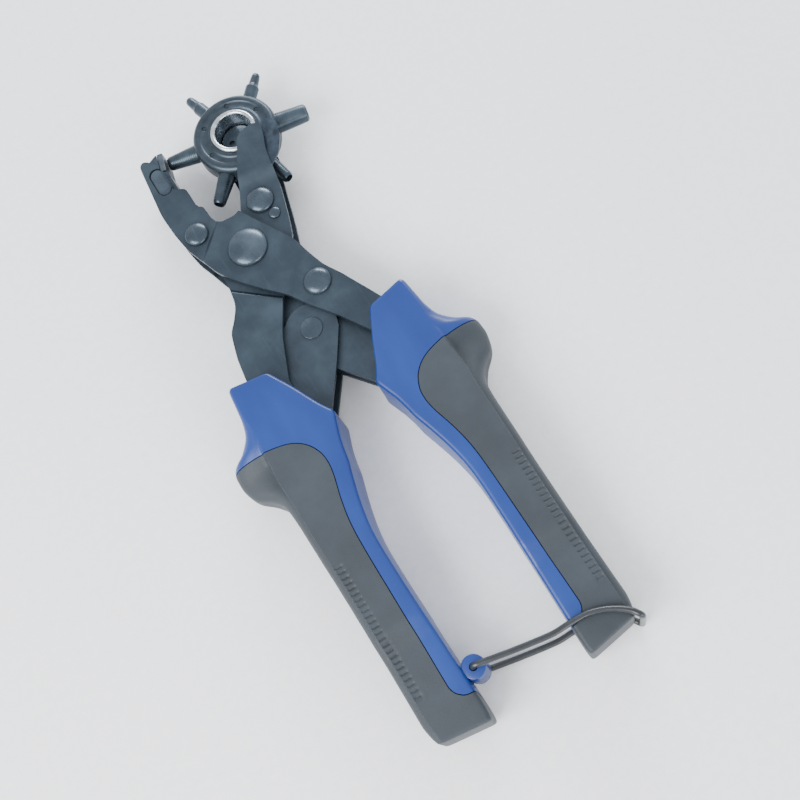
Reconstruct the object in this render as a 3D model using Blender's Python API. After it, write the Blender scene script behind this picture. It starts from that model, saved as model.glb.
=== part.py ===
"""Rotary hole punch: compound-leverage revolving punch plier with six punch tubes.

All working dimensions are in millimetres and are turned to metres by MM.
The plier lies flat on its rear side.  +Y points from the handle ends to the head,
+X to the right and +Z up through the thickness.  Plans are drawn from the main
pivot, and the whole plier is centred on the table at the end.
"""
import math

import bmesh
import bpy
from mathutils import Vector

MM = 0.001

# ---- overall layout -------------------------------------------------------
AXIS_X = 3.46                      # centre line of the two handles, right of the main pivot
PIVOT_DROP = 37.9                  # main pivot to the handle pivot, along Y
GRIP_HALF = 11.0                   # half thickness of the grips
HUB = (18.2, 45.9)                 # turret axis
TUBE_REACH = 27.3                  # turret axis to the cutting edge of a tube
WORKING_ANGLE = 166.0              # direction of the working tube from the turret axis
ANVIL_GAP = 0.4                    # cutting edge to anvil when closed
LINK_PIN_R = (29.6, -61.5)         # pin from the anvil jaw's tail to the right handle

# ---- clearances -----------------------------------------------------------
GAP = 0.3                          # running gap between plates and round a pin that turns
FIT = 0.15                         # gap of a pressed or riveted fit
SKIN_GAP = 0.3                     # overmould to hard core
LOOP_PLAY = 0.7                    # extra play of the left link pin

# ---- plate stack, half heights above the middle plane ----------------------
JAW_T = 1.8                        # jaw plate thickness
LEVER_T = 1.6                      # lever plate thickness
LEVER_R_IN = 1.45                  # right lever plates, inner face
LEVER_L_IN = LEVER_R_IN + LEVER_T + GAP
TAIL_IN = LEVER_L_IN + LEVER_T + GAP       # both jaw tails
TURRET_JAW_IN = 4.2                # turret jaw round the main pivot
ANVIL_JAW_IN = TURRET_JAW_IN + JAW_T + GAP  # anvil jaw round the main pivot
STRAP_IN = 6.9                     # front strap over the turret wheel
REAR_HEAD_IN = 5.4                 # rear plate behind the turret wheel

# ---- pins and rivets: shank radius, dome radius, dome height ---------------
MAIN_PIVOT = (3.5, 7.2, 2.7)
THROAT_RIVET = (2.4, 4.4, 2.0)
TAIL_RIVET = (2.4, 5.0, 2.2)
JAW_RIVET = (2.4, 5.1, 2.4)
SMALL_RIVET = (1.3, 2.2, 1.0)
HANDLE_PIVOT = (3.0, 3.9, 0.5)
LINK_PIN = 2.5
TAIL_LOBE = 7.0                    # end of each jaw tail round its link pin
PIN_END = 0.3                      # how far a link pin stands out of its plates
PIN_CHAMFER = 0.3
MAIN_SPACER_R = 6.0
THROAT_SPACER_R = 4.0
TAIL_SPACER_R = 4.2
JAW_SPACER_R = 3.6

THROAT_RIVET_AT = (-12.8, 16.2)
TAIL_RIVET_AT = (13.8, -25.2)
JAW_RIVET_AT = (12.6, 14.7)
SMALL_RIVET_AT = (14.4, 7.2)
HANDLE_PIVOT_AT = (AXIS_X, -PIVOT_DROP)

# ---- turret ----------------------------------------------------------------
WHEEL_R = 16.0
WHEEL_HALF = 4.9
WHEEL_BORE = 7.7
EYELET_FLANGE = 8.7
EYELET_TOP = 6.4
EYELET_IN = 6.9
EYELET_FLOOR = 1.8                 # thickness of the eyelet's floor at the wheel's back
AXLE_SHANK = 3.0
AXLE_HEAD = 6.4
SPANNER_HOLE = 1.1
SPANNER_STEP = 2.7                 # spanner holes from the turret axis
REAR_HEAD_R = 10.5                 # round end of the rear plate behind the wheel
INDEX_R = 11.8                     # index dimples from the turret axis
INDEX_HOLE = 1.2
INDEX_DEPTH = 1.6
LEAF_T = 0.7                       # index spring
BREAK_THROUGH = 1.5                # how far a cutter passes beyond the surface it opens
TUBE_ROOT = 8.8                    # inner end of each tube from the turret axis
# name, turn from the working tube, bore radius, edge radius, collar radius, collar end
TUBES = (
    ("punch_tube_4_0mm", 0, 1.95, 2.35, 3.4, 15.0),
    ("punch_tube_3_5mm", 60, 1.70, 2.05, 3.2, 15.0),
    ("punch_tube_3_0mm", 120, 1.45, 1.80, 3.1, 15.0),
    ("punch_tube_5_0mm", 180, 2.40, 3.05, 3.8, 15.0),
    ("punch_tube_2_0mm", 240, 0.95, 1.30, 2.5, 21.6),
    ("punch_tube_2_5mm", 300, 1.15, 1.50, 2.5, 21.6),
)

# ---- anvil -------------------------------------------------------------------
PAD_T = 2.2
PAD_BELOW = 5.0
PAD_ABOVE = 2.6
STAKE_AT = (-13.9, 43.1)
STAKE_HALF = (2.6, 6.0)
STAKE_SINK = 0.35

# ---- return spring and latch ---------------------------------------------------
SPRING_WIRE = 0.55
SPRING_COIL = 4.7
LATCH_WIRE = 1.0
LATCH_AT = (-10.4, -162.3)
LATCH_Z = 9.85
LATCH_PARKED = -24.5               # turn from the latched place to just off the handle end
LUG_R = 3.9
LUG_HALF = 7.4
LEVER_HEAD_R = 9.2                 # rounded head of each lever about the handle pivot

# ---- outlines, from the main pivot ---------------------------------------------
ANVIL_JAW = (
    (-17.9, 50.8), (-17.5, 53.4), (-16.0, 54.5), (-14.2, 53.6), (-11.6, 49.5), (-11.5, 37.2),
    (-7.5, 35.2), (-7.5, 25.9), (-5.5, 24.7), (-5.5, 19.8), (-4.4, 16.0), (-3.0, 14.5),
    (2.6, 13.9), (4.3, 15.0), (5.1, 12.7), (8.6, 5.7), (12.3, -1.5), (15.1, -7.1),
    (16.9, -14.5), (18.7, -20.8), (22.4, -27.9), (25.2, -34.4), (27.2, -38.9), (31.2, -48.4),
)
ANVIL_JAW_BACK = (
    (19.8, -51.1), (12.4, -38.4), (7.3, -31.1), (4.0, -25.2), (3.0, -24.0), (-3.0, -17.0),
    (-8.7, -9.6), (-13.5, -2.2), (-15.9, 5.6), (-18.3, 12.7), (-19.5, 20.7), (-20.0, 30.5),
    (-19.0, 40.2),
)
TURRET_STRAP = (
    (3.6, 13.0), (4.9, 15.7), (8.8, 23.5), (13.6, 32.5), (17.6, 39.9), (19.4, 41.4),
    (22.6, 42.2), (26.0, 41.9), (27.6, 39.4), (26.1, 34.6), (24.5, 31.0), (23.4, 26.0),
    (22.7, 21.5), (21.5, 16.0), (20.0, 10.4), (18.1, 3.9), (15.6, -3.5),
)
TURRET_REAR_LEFT = ((3.6, 13.0), (4.9, 15.7), (7.6, 24.0), (8.4, 33.0))
TURRET_REAR_RIGHT = ((26.8, 33.0), (23.6, 24.0), (21.5, 16.0), (20.0, 10.4), (18.1, 3.9), (15.6, -3.5))
TURRET_TAIL = (
    (10.9, -11.0), (4.4, -17.4), (-0.6, -25.8), (-6.2, -35.5), (-12.1, -50.4),
)
TURRET_TAIL_BACK = (
    (-25.4, -51.0), (-24.2, -40.5), (-23.2, -33.7), (-20.6, -24.2), (-17.7, -21.1),
    (-14.2, -16.1), (-13.2, -10.4), (-12.9, -5.0), (-13.0, 0.0), (-11.6, 5.9), (-7.6, 10.5), (-2.0, 12.6),
)
LEVER_OUTER = (
    (9.6, -31.0), (19.5, -39.5), (29.0, -49.0), (34.2, -56.0), (34.9, -63.0), (33.6, -74.0),
    (32.7, -84.0), (33.0, -100.0), (33.0, -148.0), (31.0, -150.0), (28.0, -150.0), (26.2, -148.0),
    (26.0, -100.0), (23.8, -87.0), (20.0, -79.0), (13.2, -68.0), (2.8, -54.0), (-5.0, -42.1),
)
# nose of the right lever plates above the handle pivot, behind the jaws' tails
LEVER_NOSE = (
    (-6.2, -32.0), (-5.0, -26.4), (-2.2, -22.2), (1.2, -20.4), (4.6, -22.4), (7.0, -26.8),
)
INNER_R = 2.4                      # rounding along the inner side of each grip
# station: inner x, inner y, outer x, outer y (x from the handles' centre line), half height,
# width and height of the outer rounding
GRIP = (
    (20.4, -45.4, 33.2, -43.0, 9.4, 3.0, 3.0),
    (19.5, -46.6, 34.7, -44.2, GRIP_HALF, 3.4, 3.6),
    (17.4, -50.6, 35.3, -50.2, GRIP_HALF, 3.6, 4.2),
    (15.0, -55.4, 36.1, -55.6, GRIP_HALF, 4.0, 4.6),
    (12.9, -60.2, 38.0, -60.2, GRIP_HALF, 5.6, 5.2),
    (11.0, -64.4, 42.4, -64.0, GRIP_HALF, 9.0, 6.2),
    (9.4, -67.4, 46.4, -66.0, GRIP_HALF, 12.0, 7.0),
    (8.2, -69.8, 47.8, -69.2, GRIP_HALF, 13.0, 7.2),
    (9.2, -73.2, 47.7, -73.4, GRIP_HALF, 12.6, 7.2),
    (10.6, -77.4, 45.8, -78.6, GRIP_HALF, 10.6, 6.8),
    (11.7, -82.0, 41.4, -82.6, GRIP_HALF, 6.4, 6.0),
    (12.6, -87.0, 38.4, -87.0, GRIP_HALF, 4.6, 5.4),
    (14.3, -93.0, 37.5, -93.0, GRIP_HALF, 4.2, 5.2),
    (16.3, -101.0, 37.2, -101.0, GRIP_HALF, 4.2, 5.2),
    (17.7, -109.5, 37.0, -109.5, GRIP_HALF, 4.2, 5.2),
    (18.1, -119.0, 36.7, -119.0, GRIP_HALF, 4.2, 5.2),
    (18.0, -130.0, 36.5, -130.0, GRIP_HALF, 4.2, 5.2),
    (17.8, -139.0, 36.4, -139.0, GRIP_HALF, 4.2, 5.2),
    (17.7, -144.0, 36.4, -144.0, 9.6, 4.2, 4.8),
    (17.6, -149.0, 36.4, -149.0, 8.6, 4.2, 4.4),
    (17.3, -160.0, 36.4, -160.0, 8.6, 4.2, 4.4),
    (17.1, -168.4, 36.4, -167.4, 8.6, 4.2, 4.4),
    (17.0, -174.0, 35.8, -171.8, 8.4, 4.0, 4.2),
    (17.5, -177.2, 34.2, -174.8, 7.6, 3.6, 3.8),
    (18.6, -178.2, 32.6, -176.0, 6.4, 3.0, 3.2),
)
# edge of the soft overmould, x from the handles' centre line
SOFT_EDGE = (
    (52.0, -67.4), (42.5, -68.4), (33.0, -69.6), (26.0, -71.6), (21.6, -75.0), (19.2, -79.4),
    (18.6, -83.6), (19.2, -88.6), (21.2, -96.6), (22.6, -105.0), (23.1, -116.0), (23.2, -140.0),
    (23.4, -160.0), (23.2, -164.6), (21.6, -167.2), (18.8, -168.6), (12.0, -168.8),
)
# core of the overmould: inner x, outer x, y, half height
CORE = (
    (19.0, 36.4, -64.0, 8.6), (18.0, 36.2, -72.0, 8.6), (18.0, 35.2, -79.0, 8.6), (17.0, 34.8, -85.0, 8.6),
    (18.0, 34.6, -94.0, 8.6), (20.0, 34.4, -104.0, 8.6), (21.0, 34.2, -116.0, 8.6),
    (21.0, 34.0, -138.0, 8.6), (21.0, 33.8, -150.0, 6.4), (20.6, 33.8, -161.0, 6.4),
    (19.6, 33.4, -166.8, 6.4),
)
CAVITY = (
    (-2.0, -36.0), (38.0, -36.0), (38.0, -44.6), (33.2, -49.0), (33.9, -57.0), (34.3, -63.0),
    (32.6, -68.5), (28.5, -74.0), (14.0, -74.0), (11.0, -69.6), (4.0, -69.6),
)
CAVITY_HALF = TAIL_IN + JAW_T + 0.55
POCKET_HALF = LEVER_L_IN + LEVER_T + GAP
# one leg of the latch in its latched place, from its own axis
LEG_PATH = (
    (0.0, 0.0), (12.0, 2.5), (24.2, 5.5), (30.0, 7.9), (35.6, 10.0), (41.0, 10.6), (46.0, 10.0),
    (49.4, 8.9),
)
LATCH_BAR = (51.8, 7.3)


def clear_scene():
    for obj in list(bpy.data.objects):
        bpy.data.objects.remove(obj, do_unlink=True)


def linear(channel):
    return channel / 12.92 if channel <= 0.04045 else ((channel + 0.055) / 1.055) ** 2.4


def material(name, code, metallic, roughness):
    mat = bpy.data.materials.new(name)
    mat.use_nodes = True
    shader = mat.node_tree.nodes["Principled BSDF"]
    rgb = [linear(int(code[i:i + 2], 16) / 255) for i in (0, 2, 4)]
    shader.inputs["Base Color"].default_value = (*rgb, 1.0)
    shader.inputs["Metallic"].default_value = metallic
    shader.inputs["Roughness"].default_value = roughness
    return mat


def black_oxide_plate():
    return material("black_oxide_plate", "2b2e33", 0.9, 0.42)


def black_rivet_steel():
    return material("black_rivet_steel", "24272b", 0.9, 0.34)


def turned_tube_steel():
    return material("turned_tube_steel", "33363b", 0.95, 0.36)


def cast_wheel_steel():
    return material("painted_wheel_steel", "1f2226", 0.6, 0.45)


def zinc_eyelet():
    return material("zinc_plated_eyelet", "c9ccd0", 1.0, 0.28)


def pad_steel():
    return material("ground_steel_anvil_pad", "4a5057", 0.9, 0.4)


def spring_steel():
    return material("blued_spring_steel", "3a3d42", 1.0, 0.3)


def hard_plastic():
    return material("blue_hard_plastic", "3f6db5", 0.0, 0.42)


def soft_plastic():
    return material("dark_soft_overmould", "4a4d52", 0.0, 0.75)


def wire_steel():
    return material("black_spring_wire", "2c2f33", 0.9, 0.35)


def new_object(name, verts, faces, mat, origin=(0.0, 0.0), smooth=0.6):
    """Makes an object from millimetre points, with its origin on the given axis."""
    mesh = bpy.data.meshes.new(name)
    ox, oy = origin
    mesh.from_pydata([((x - ox) * MM, (y - oy) * MM, z * MM) for x, y, z in verts], [], faces)
    work = bmesh.new()
    work.from_mesh(mesh)
    bmesh.ops.recalc_face_normals(work, faces=work.faces)
    work.to_mesh(mesh)
    work.free()
    mesh.materials.append(mat)
    mesh.shade_smooth()
    mesh.set_sharp_from_angle(angle=smooth)
    obj = bpy.data.objects.new(name, mesh)
    obj.location = (ox * MM, oy * MM, 0.0)
    bpy.context.scene.collection.objects.link(obj)
    return obj


def circle(centre, radius, count, start=0.0, end=360.0, closed=True):
    steps = count if closed else count - 1
    angles = [math.radians(start + (end - start) * i / steps) for i in range(count)]
    return [(centre[0] + radius * math.cos(a), centre[1] + radius * math.sin(a)) for a in angles]


def slot_ring(centre, half, count=8):
    """An upright obround with half width half[0] and half length half[1]."""
    rise = half[1] - half[0]
    top = circle((centre[0], centre[1] + rise), half[0], count, 0, 180, closed=False)
    low = circle((centre[0], centre[1] - rise), half[0], count, 180, 360, closed=False)
    return top + low


def lobe(centre, radius, start, end, count=9):
    return circle(centre, radius, count, start, end, closed=False)


def mirror_x(points):
    return [(2 * AXIS_X - x, y) for x, y in points]


def mirror_pin(point):
    """The point across the line from the main pivot to the handle pivot."""
    length = math.hypot(*HANDLE_PIVOT_AT)
    ux, uy = HANDLE_PIVOT_AT[0] / length, HANDLE_PIVOT_AT[1] / length
    along = point[0] * ux + point[1] * uy
    return 2 * along * ux - point[0], 2 * along * uy - point[1]


LINK_PIN_L = mirror_pin(LINK_PIN_R)


def flat_faces(outline, holes, lines):
    """Fills an outline with holes and splits it along straight bend lines."""
    work = bmesh.new()
    for ring in [outline] + list(holes):
        verts = [work.verts.new((x, y, 0.0)) for x, y in ring]
        for a, b in zip(verts, verts[1:] + verts[:1]):
            work.edges.new((a, b))
    bmesh.ops.triangle_fill(work, edges=work.edges[:], use_beauty=True)
    for point, normal in lines:
        geom = work.verts[:] + work.edges[:] + work.faces[:]
        bmesh.ops.bisect_plane(
            work, geom=geom, plane_co=(*point, 0.0), plane_no=(*normal, 0.0), dist=1e-5)
    work.verts.index_update()
    points = [(v.co.x, v.co.y) for v in work.verts]
    faces = [[v.index for v in f.verts] for f in work.faces]
    rim = [[v.index for v in e.verts] for e in work.edges if len(e.link_faces) == 1]
    work.free()
    return points, faces, rim


def step_height(point, steps):
    """Height added by bends: (normal, from, to, rise), a ramp between two distances."""
    total = 0.0
    for normal, start, end, rise in steps:
        along = point[0] * normal[0] + point[1] * normal[1]
        total += rise * min(1.0, max(0.0, (along - start) / (end - start)))
    return total


def plate(name, outline, holes, inner, thickness, mat, side=1, steps=(), origin=(0.0, 0.0)):
    """A sheet-metal plate on one side of the middle plane, with joggles."""
    lines = []
    for normal, start, end, _ in steps:
        lines.append(((normal[0] * start, normal[1] * start), normal))
        lines.append(((normal[0] * end, normal[1] * end), normal))
    points, faces, rim = flat_faces(outline, holes, lines)
    verts = []
    for low in (inner, inner + thickness):
        verts += [(x, y, side * (low + step_height((x, y), steps))) for x, y in points]
    count = len(points)
    solid = list(faces) + [[i + count for i in reversed(f)] for f in faces]
    solid += [[a, b, b + count, a + count] for a, b in rim]
    return new_object(name, verts, solid, mat, origin, smooth=0.5)


def prism(name, outline, low, high, mat, origin=(0.0, 0.0), holes=()):
    points, faces, rim = flat_faces(outline, holes, ())
    verts = [(x, y, low) for x, y in points] + [(x, y, high) for x, y in points]
    count = len(points)
    solid = list(faces) + [[i + count for i in reversed(f)] for f in faces]
    solid += [[a, b, b + count, a + count] for a, b in rim]
    return new_object(name, verts, solid, mat, origin, smooth=0.5)


def lathe(name, profile, centre, mat, segments=24, direction=None, closed=False):
    """Turns (radius, height) points round Z, or round a level axis at an angle."""
    verts, rings = [], []
    for radius, height in profile:
        if radius < 1e-6:
            rings.append([len(verts)])
            verts.append((0.0, 0.0, height))
            continue
        rings.append(list(range(len(verts), len(verts) + segments)))
        verts += [(*p, height) for p in circle((0.0, 0.0), radius, segments)]
    faces = []
    pairs = list(zip(rings, rings[1:] + (rings[:1] if closed else [])))
    if not closed:
        pairs = pairs[:len(rings) - 1]
    for low, high in pairs:
        for i in range(segments):
            j = (i + 1) % segments
            corners = [low[i % len(low)], low[j % len(low)], high[j % len(high)], high[i % len(high)]]
            face = [v for k, v in enumerate(corners) if v not in corners[:k]]
            if len(face) > 2:
                faces.append(face)
    if direction is not None:
        turn = math.radians(direction)
        c, s = math.cos(turn), math.sin(turn)
        verts = [(h * c - x * s, h * s + x * c, y) for x, y, h in verts]
    verts = [(x + centre[0], y + centre[1], z) for x, y, z in verts]
    return new_object(name, verts, faces, mat, centre)


def dome(radius, base, height, rows=5):
    """Profile of a rounded rivet head from its rim up to its crown."""
    points = [(radius, base)]
    for i in range(1, rows):
        angle = math.pi / 2 * i / rows
        points.append((radius * math.cos(angle), base + height * math.sin(angle)))
    return points + [(0.0, base + height)]


def rivet(name, centre, sizes, top, mat, flat_end=None):
    """A rivet through the stack: its heads sit on faces at plus and minus top."""
    shank, head, height = sizes
    seat = top + FIT / 2
    upper = dome(head, seat, height)
    lower = [(r, -z) for r, z in reversed(upper)]
    if flat_end is not None:
        lower = [(0.0, -flat_end), (head * 0.62, -flat_end), (head * 0.86, -flat_end + 0.9), (head, -seat)]
    profile = lower + [(shank, -seat), (shank, seat)] + upper
    return lathe(name, profile, centre, mat)


def sleeve(name, centre, outer, inner, half, mat):
    profile = [(inner, -half), (outer, -half), (outer, half), (inner, half)]
    return lathe(name, profile, centre, mat, segments=20, closed=True)


def boolean(target, tool, operation):
    tool.hide_render = True
    tool.display_type = "WIRE"
    mod = target.modifiers.new(operation.lower(), "BOOLEAN")
    mod.operation = operation
    mod.solver = "EXACT"
    mod.object = tool


# ---- anvil jaw -----------------------------------------------------------------
HEAD_BEND = ((-0.673, 0.739), 13.6, 15.4, TAIL_IN - ANVIL_JAW_IN)
TAIL_BEND = ((0.70, -0.714), 17.3, 21.6, TAIL_IN - ANVIL_JAW_IN)


def anvil_jaw(steel):
    """Two outer plates from the anvil to the right link pin."""
    end = lobe(LINK_PIN_R, TAIL_LOBE, 24, -206)
    outline = list(ANVIL_JAW) + end + list(ANVIL_JAW_BACK)
    holes = [
        circle((0.0, 0.0), MAIN_PIVOT[0] + FIT, 24),
        circle(THROAT_RIVET_AT, THROAT_RIVET[0] + FIT, 20),
        circle(TAIL_RIVET_AT, TAIL_RIVET[0] + FIT, 20),
        circle(LINK_PIN_R, LINK_PIN + FIT, 20),
        slot_ring(STAKE_AT, (STAKE_HALF[0] + FIT, STAKE_HALF[1] + FIT)),
    ]
    for name, side in (("anvil_jaw_front_plate", 1), ("anvil_jaw_rear_plate", -1)):
        plate(name, outline, holes, ANVIL_JAW_IN, JAW_T, steel, side, (HEAD_BEND, TAIL_BEND))


def from_hub(reach, along):
    """A point in front of the working tube: reach from the hub and a step along the anvil."""
    turn = math.radians(WORKING_ANGLE)
    c, s = math.cos(turn), math.sin(turn)
    return HUB[0] + reach * c + along * s, HUB[1] + reach * s - along * c


def anvil_parts(steel, pad_mat):
    face = TUBE_REACH + ANVIL_GAP
    back = face + PAD_T
    pad = [from_hub(face, -PAD_BELOW), from_hub(face, PAD_ABOVE)]
    pad += [from_hub(back, PAD_ABOVE), from_hub(back, -PAD_BELOW)]
    half = TAIL_IN - GAP
    prism("anvil_pad", pad, -half, half, pad_mat)
    seat = back + FIT
    block = [
        (-17.0, 36.6), (-9.8, 36.6), (-9.8, 46.9), from_hub(seat, -PAD_BELOW - FIT),
        from_hub(seat, PAD_ABOVE), (-13.4, 54.6), (-16.2, 52.6), (-17.0, 50.4),
    ]
    body = prism("anvil_block", block, -half, half, steel)
    reach = TAIL_IN + JAW_T - STAKE_SINK
    stake = prism("tool_stake", slot_ring(STAKE_AT, STAKE_HALF), -reach, reach, steel)
    boolean(body, stake, "UNION")


def anvil_jaw_pins(steel):
    rivet("main_pivot_rivet", (0.0, 0.0), MAIN_PIVOT, ANVIL_JAW_IN + JAW_T, steel, flat_end=GRIP_HALF)
    sleeve("main_pivot_spacer", (0.0, 0.0), MAIN_SPACER_R, MAIN_PIVOT[0] + FIT, TURRET_JAW_IN - GAP, steel)
    rivet("throat_rivet", THROAT_RIVET_AT, THROAT_RIVET, TAIL_IN + JAW_T, steel)
    sleeve("throat_spacer", THROAT_RIVET_AT, THROAT_SPACER_R, THROAT_RIVET[0] + FIT, TAIL_IN - FIT, steel)
    rivet("tail_rivet", TAIL_RIVET_AT, TAIL_RIVET, TAIL_IN + JAW_T, steel)
    sleeve("tail_spacer", TAIL_RIVET_AT, TAIL_SPACER_R, TAIL_RIVET[0] + FIT, TAIL_IN - FIT, steel)
    link_pin("right_link_pin", LINK_PIN_R, steel)


def link_pin(name, centre, steel):
    half = TAIL_IN + JAW_T + PIN_END
    rim = LINK_PIN - PIN_CHAMFER
    profile = [(0.0, -half), (rim, -half), (LINK_PIN, -half + PIN_CHAMFER),
               (LINK_PIN, half - PIN_CHAMFER), (rim, half), (0.0, half)]
    lathe(name, profile, centre, steel, segments=20)


# ---- turret jaw ------------------------------------------------------------------
TURRET_TAIL_BEND = ((-0.68, -0.733), 15.5, 17.0, TAIL_IN - TURRET_JAW_IN)
STRAP_BEND = ((0.33, 0.944), 23.6, 27.6, STRAP_IN - TURRET_JAW_IN)
REAR_BEND = ((0.33, 0.944), 23.6, 27.6, REAR_HEAD_IN - TURRET_JAW_IN)


def turret_jaw(steel):
    """Two inner plates: a front strap over the wheel and a round rear end behind it."""
    tail = list(TURRET_TAIL) + lobe(LINK_PIN_L, TAIL_LOBE, 36, -204) + list(TURRET_TAIL_BACK)
    holes = [
        circle((0.0, 0.0), MAIN_PIVOT[0] + GAP, 24),
        circle(JAW_RIVET_AT, JAW_RIVET[0] + FIT, 20),
        circle(SMALL_RIVET_AT, SMALL_RIVET[0] + FIT, 16),
        circle(LINK_PIN_L, LINK_PIN + FIT, 20),
    ]
    plate("turret_jaw_front_plate", list(TURRET_STRAP) + tail, holes, TURRET_JAW_IN, JAW_T, steel,
          1, (STRAP_BEND, TURRET_TAIL_BEND))
    head = lobe(HUB, REAR_HEAD_R, 197, -38, 17)
    rear = list(TURRET_REAR_LEFT) + head + list(TURRET_REAR_RIGHT) + tail
    holes.append(circle(HUB, AXLE_SHANK + FIT, 20))
    plate("turret_jaw_rear_plate", rear, holes, TURRET_JAW_IN, JAW_T, steel,
          -1, (REAR_BEND, TURRET_TAIL_BEND))


def turret_jaw_pins(steel):
    top = TURRET_JAW_IN + JAW_T
    rivet("jaw_rivet", JAW_RIVET_AT, JAW_RIVET, top, steel)
    sleeve("jaw_spacer", JAW_RIVET_AT, JAW_SPACER_R, JAW_RIVET[0] + FIT, TURRET_JAW_IN - FIT, steel)
    rivet("spring_rivet", SMALL_RIVET_AT, SMALL_RIVET, top, steel)
    link_pin("left_link_pin", LINK_PIN_L, steel)


def hub_axle(steel):
    """Stepped axle riveted to the rear plate; its head sits in the eyelet's well."""
    seat = REAR_HEAD_IN + JAW_T + FIT / 2
    floor = -WHEEL_HALF + EYELET_FLOOR + GAP
    profile = [(0.0, -seat - 1.8), (3.0, -seat - 1.6), (4.4, -seat - 0.9), (4.8, -seat), (AXLE_SHANK, -seat),
               (AXLE_SHANK, floor), (AXLE_HEAD, floor), (AXLE_HEAD, floor + 1.4),
               (AXLE_HEAD - 0.6, floor + 2.0), (0.0, floor + 2.4)]
    axle = lathe("hub_axle", profile, HUB, steel)
    for number, step in enumerate((-SPANNER_STEP, SPANNER_STEP)):
        hole = circle((HUB[0] + step, HUB[1]), SPANNER_HOLE, 14)
        cutter = prism("tool_spanner_hole_%d" % number, hole, floor + 0.9, floor + 4.0, steel)
        boolean(axle, cutter, "DIFFERENCE")


def index_spring(steel):
    """Leaf under the strap, with a nose over one of the wheel's dimples."""
    low = TURRET_JAW_IN - GAP - LEAF_T
    leaf = [(12.8, 9.2), (15.6, 11.0), (16.9, 14.0), (17.6, 19.0), (18.9, 26.0), (20.6, 30.4),
            (23.4, 34.4), (25.9, 39.4), (29.6, 42.2), (32.2, 41.6), (33.0, 38.2), (31.2, 32.6),
            (27.6, 27.2), (22.2, 23.6), (21.4, 20.0), (20.0, 14.0), (17.0, 8.4)]
    leaf += lobe(SMALL_RIVET_AT, 2.5, -10, -190, 7)
    hole = circle(SMALL_RIVET_AT, SMALL_RIVET[0] + FIT, 16)
    spring = plate("index_spring", leaf, [hole], low, LEAF_T, steel, 1, (STRAP_BEND,))
    at = dimple_at(0)
    inside = STRAP_IN - GAP - LEAF_T / 2
    nose_low = WHEEL_HALF + GAP
    profile = [(0.0, nose_low), (0.6, nose_low + 0.1), (1.0, nose_low + 0.4), (1.0, inside), (0.0, inside)]
    boolean(spring, lathe("tool_index_nose", profile, at, steel, segments=14), "UNION")


def dimple_at(number):
    """Index dimples lie midway between the tubes; number 0 is under the spring's nose."""
    turn = math.radians(WORKING_ANGLE - 210.0 + 60.0 * number)
    return HUB[0] + INDEX_R * math.cos(turn), HUB[1] + INDEX_R * math.sin(turn)


# ---- turret ------------------------------------------------------------------------
def turret_wheel(mat):
    half = WHEEL_HALF
    profile = [(WHEEL_BORE, -half), (14.2, -half), (15.4, -half + 0.8), (WHEEL_R, -half + 2.6),
               (WHEEL_R, half - 2.6), (15.4, half - 0.8), (14.4, half), (13.4, half), (12.9, half - 0.5),
               (10.6, half - 0.5), (10.1, half), (WHEEL_BORE, half)]
    wheel = lathe("turret_wheel", profile, HUB, mat, segments=48, closed=True)
    for name, turn, _, _, collar, _ in TUBES:
        wide, low, high = collar + FIT, WHEEL_BORE - BREAK_THROUGH, WHEEL_R + BREAK_THROUGH
        bar = [(0.0, low), (wide, low), (wide, high), (0.0, high)]
        cutter = lathe("tool_socket_" + name, bar, HUB, mat, segments=18, direction=WORKING_ANGLE + turn)
        boolean(wheel, cutter, "DIFFERENCE")
    for number in range(len(TUBES)):
        drill = circle(dimple_at(number), INDEX_HOLE, 14)
        low, high = WHEEL_HALF - INDEX_DEPTH, WHEEL_HALF + BREAK_THROUGH
        cutter = prism("tool_dimple_%d" % number, drill, low, high, mat)
        boolean(wheel, cutter, "DIFFERENCE")


def hub_eyelet(mat):
    """Rolled eyelet: flange on the wheel's face, sleeve in its bore, floor at the back."""
    half = WHEEL_HALF
    wall = WHEEL_BORE - FIT
    floor = -half + EYELET_FLOOR
    profile = [(AXLE_SHANK + GAP, -half), (wall, -half), (wall, half + FIT), (EYELET_FLANGE, half + FIT),
               (EYELET_FLANGE, half + 0.8), (EYELET_FLANGE - 0.5, EYELET_TOP), (EYELET_IN + 0.5, EYELET_TOP),
               (EYELET_IN, half + 0.8), (EYELET_IN, floor), (AXLE_SHANK + GAP, floor)]
    lathe("hub_eyelet", profile, HUB, mat, segments=36, closed=True)


def punch_tubes(mat):
    for name, turn, bore, edge, collar, collar_end in TUBES:
        profile = [(bore, TUBE_ROOT), (collar, TUBE_ROOT), (collar, collar_end)]
        if collar_end > WHEEL_R + 2:
            profile.append((edge + 0.75, collar_end + 0.5))
        else:
            profile.append((collar * 0.97, WHEEL_R + 1.5))
        profile += [(edge + 0.12, TUBE_REACH - 0.5), (bore + 0.12, TUBE_REACH), (bore, TUBE_REACH - 0.1)]
        lathe(name, profile, HUB, mat, segments=18, direction=WORKING_ANGLE + turn, closed=True)


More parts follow.
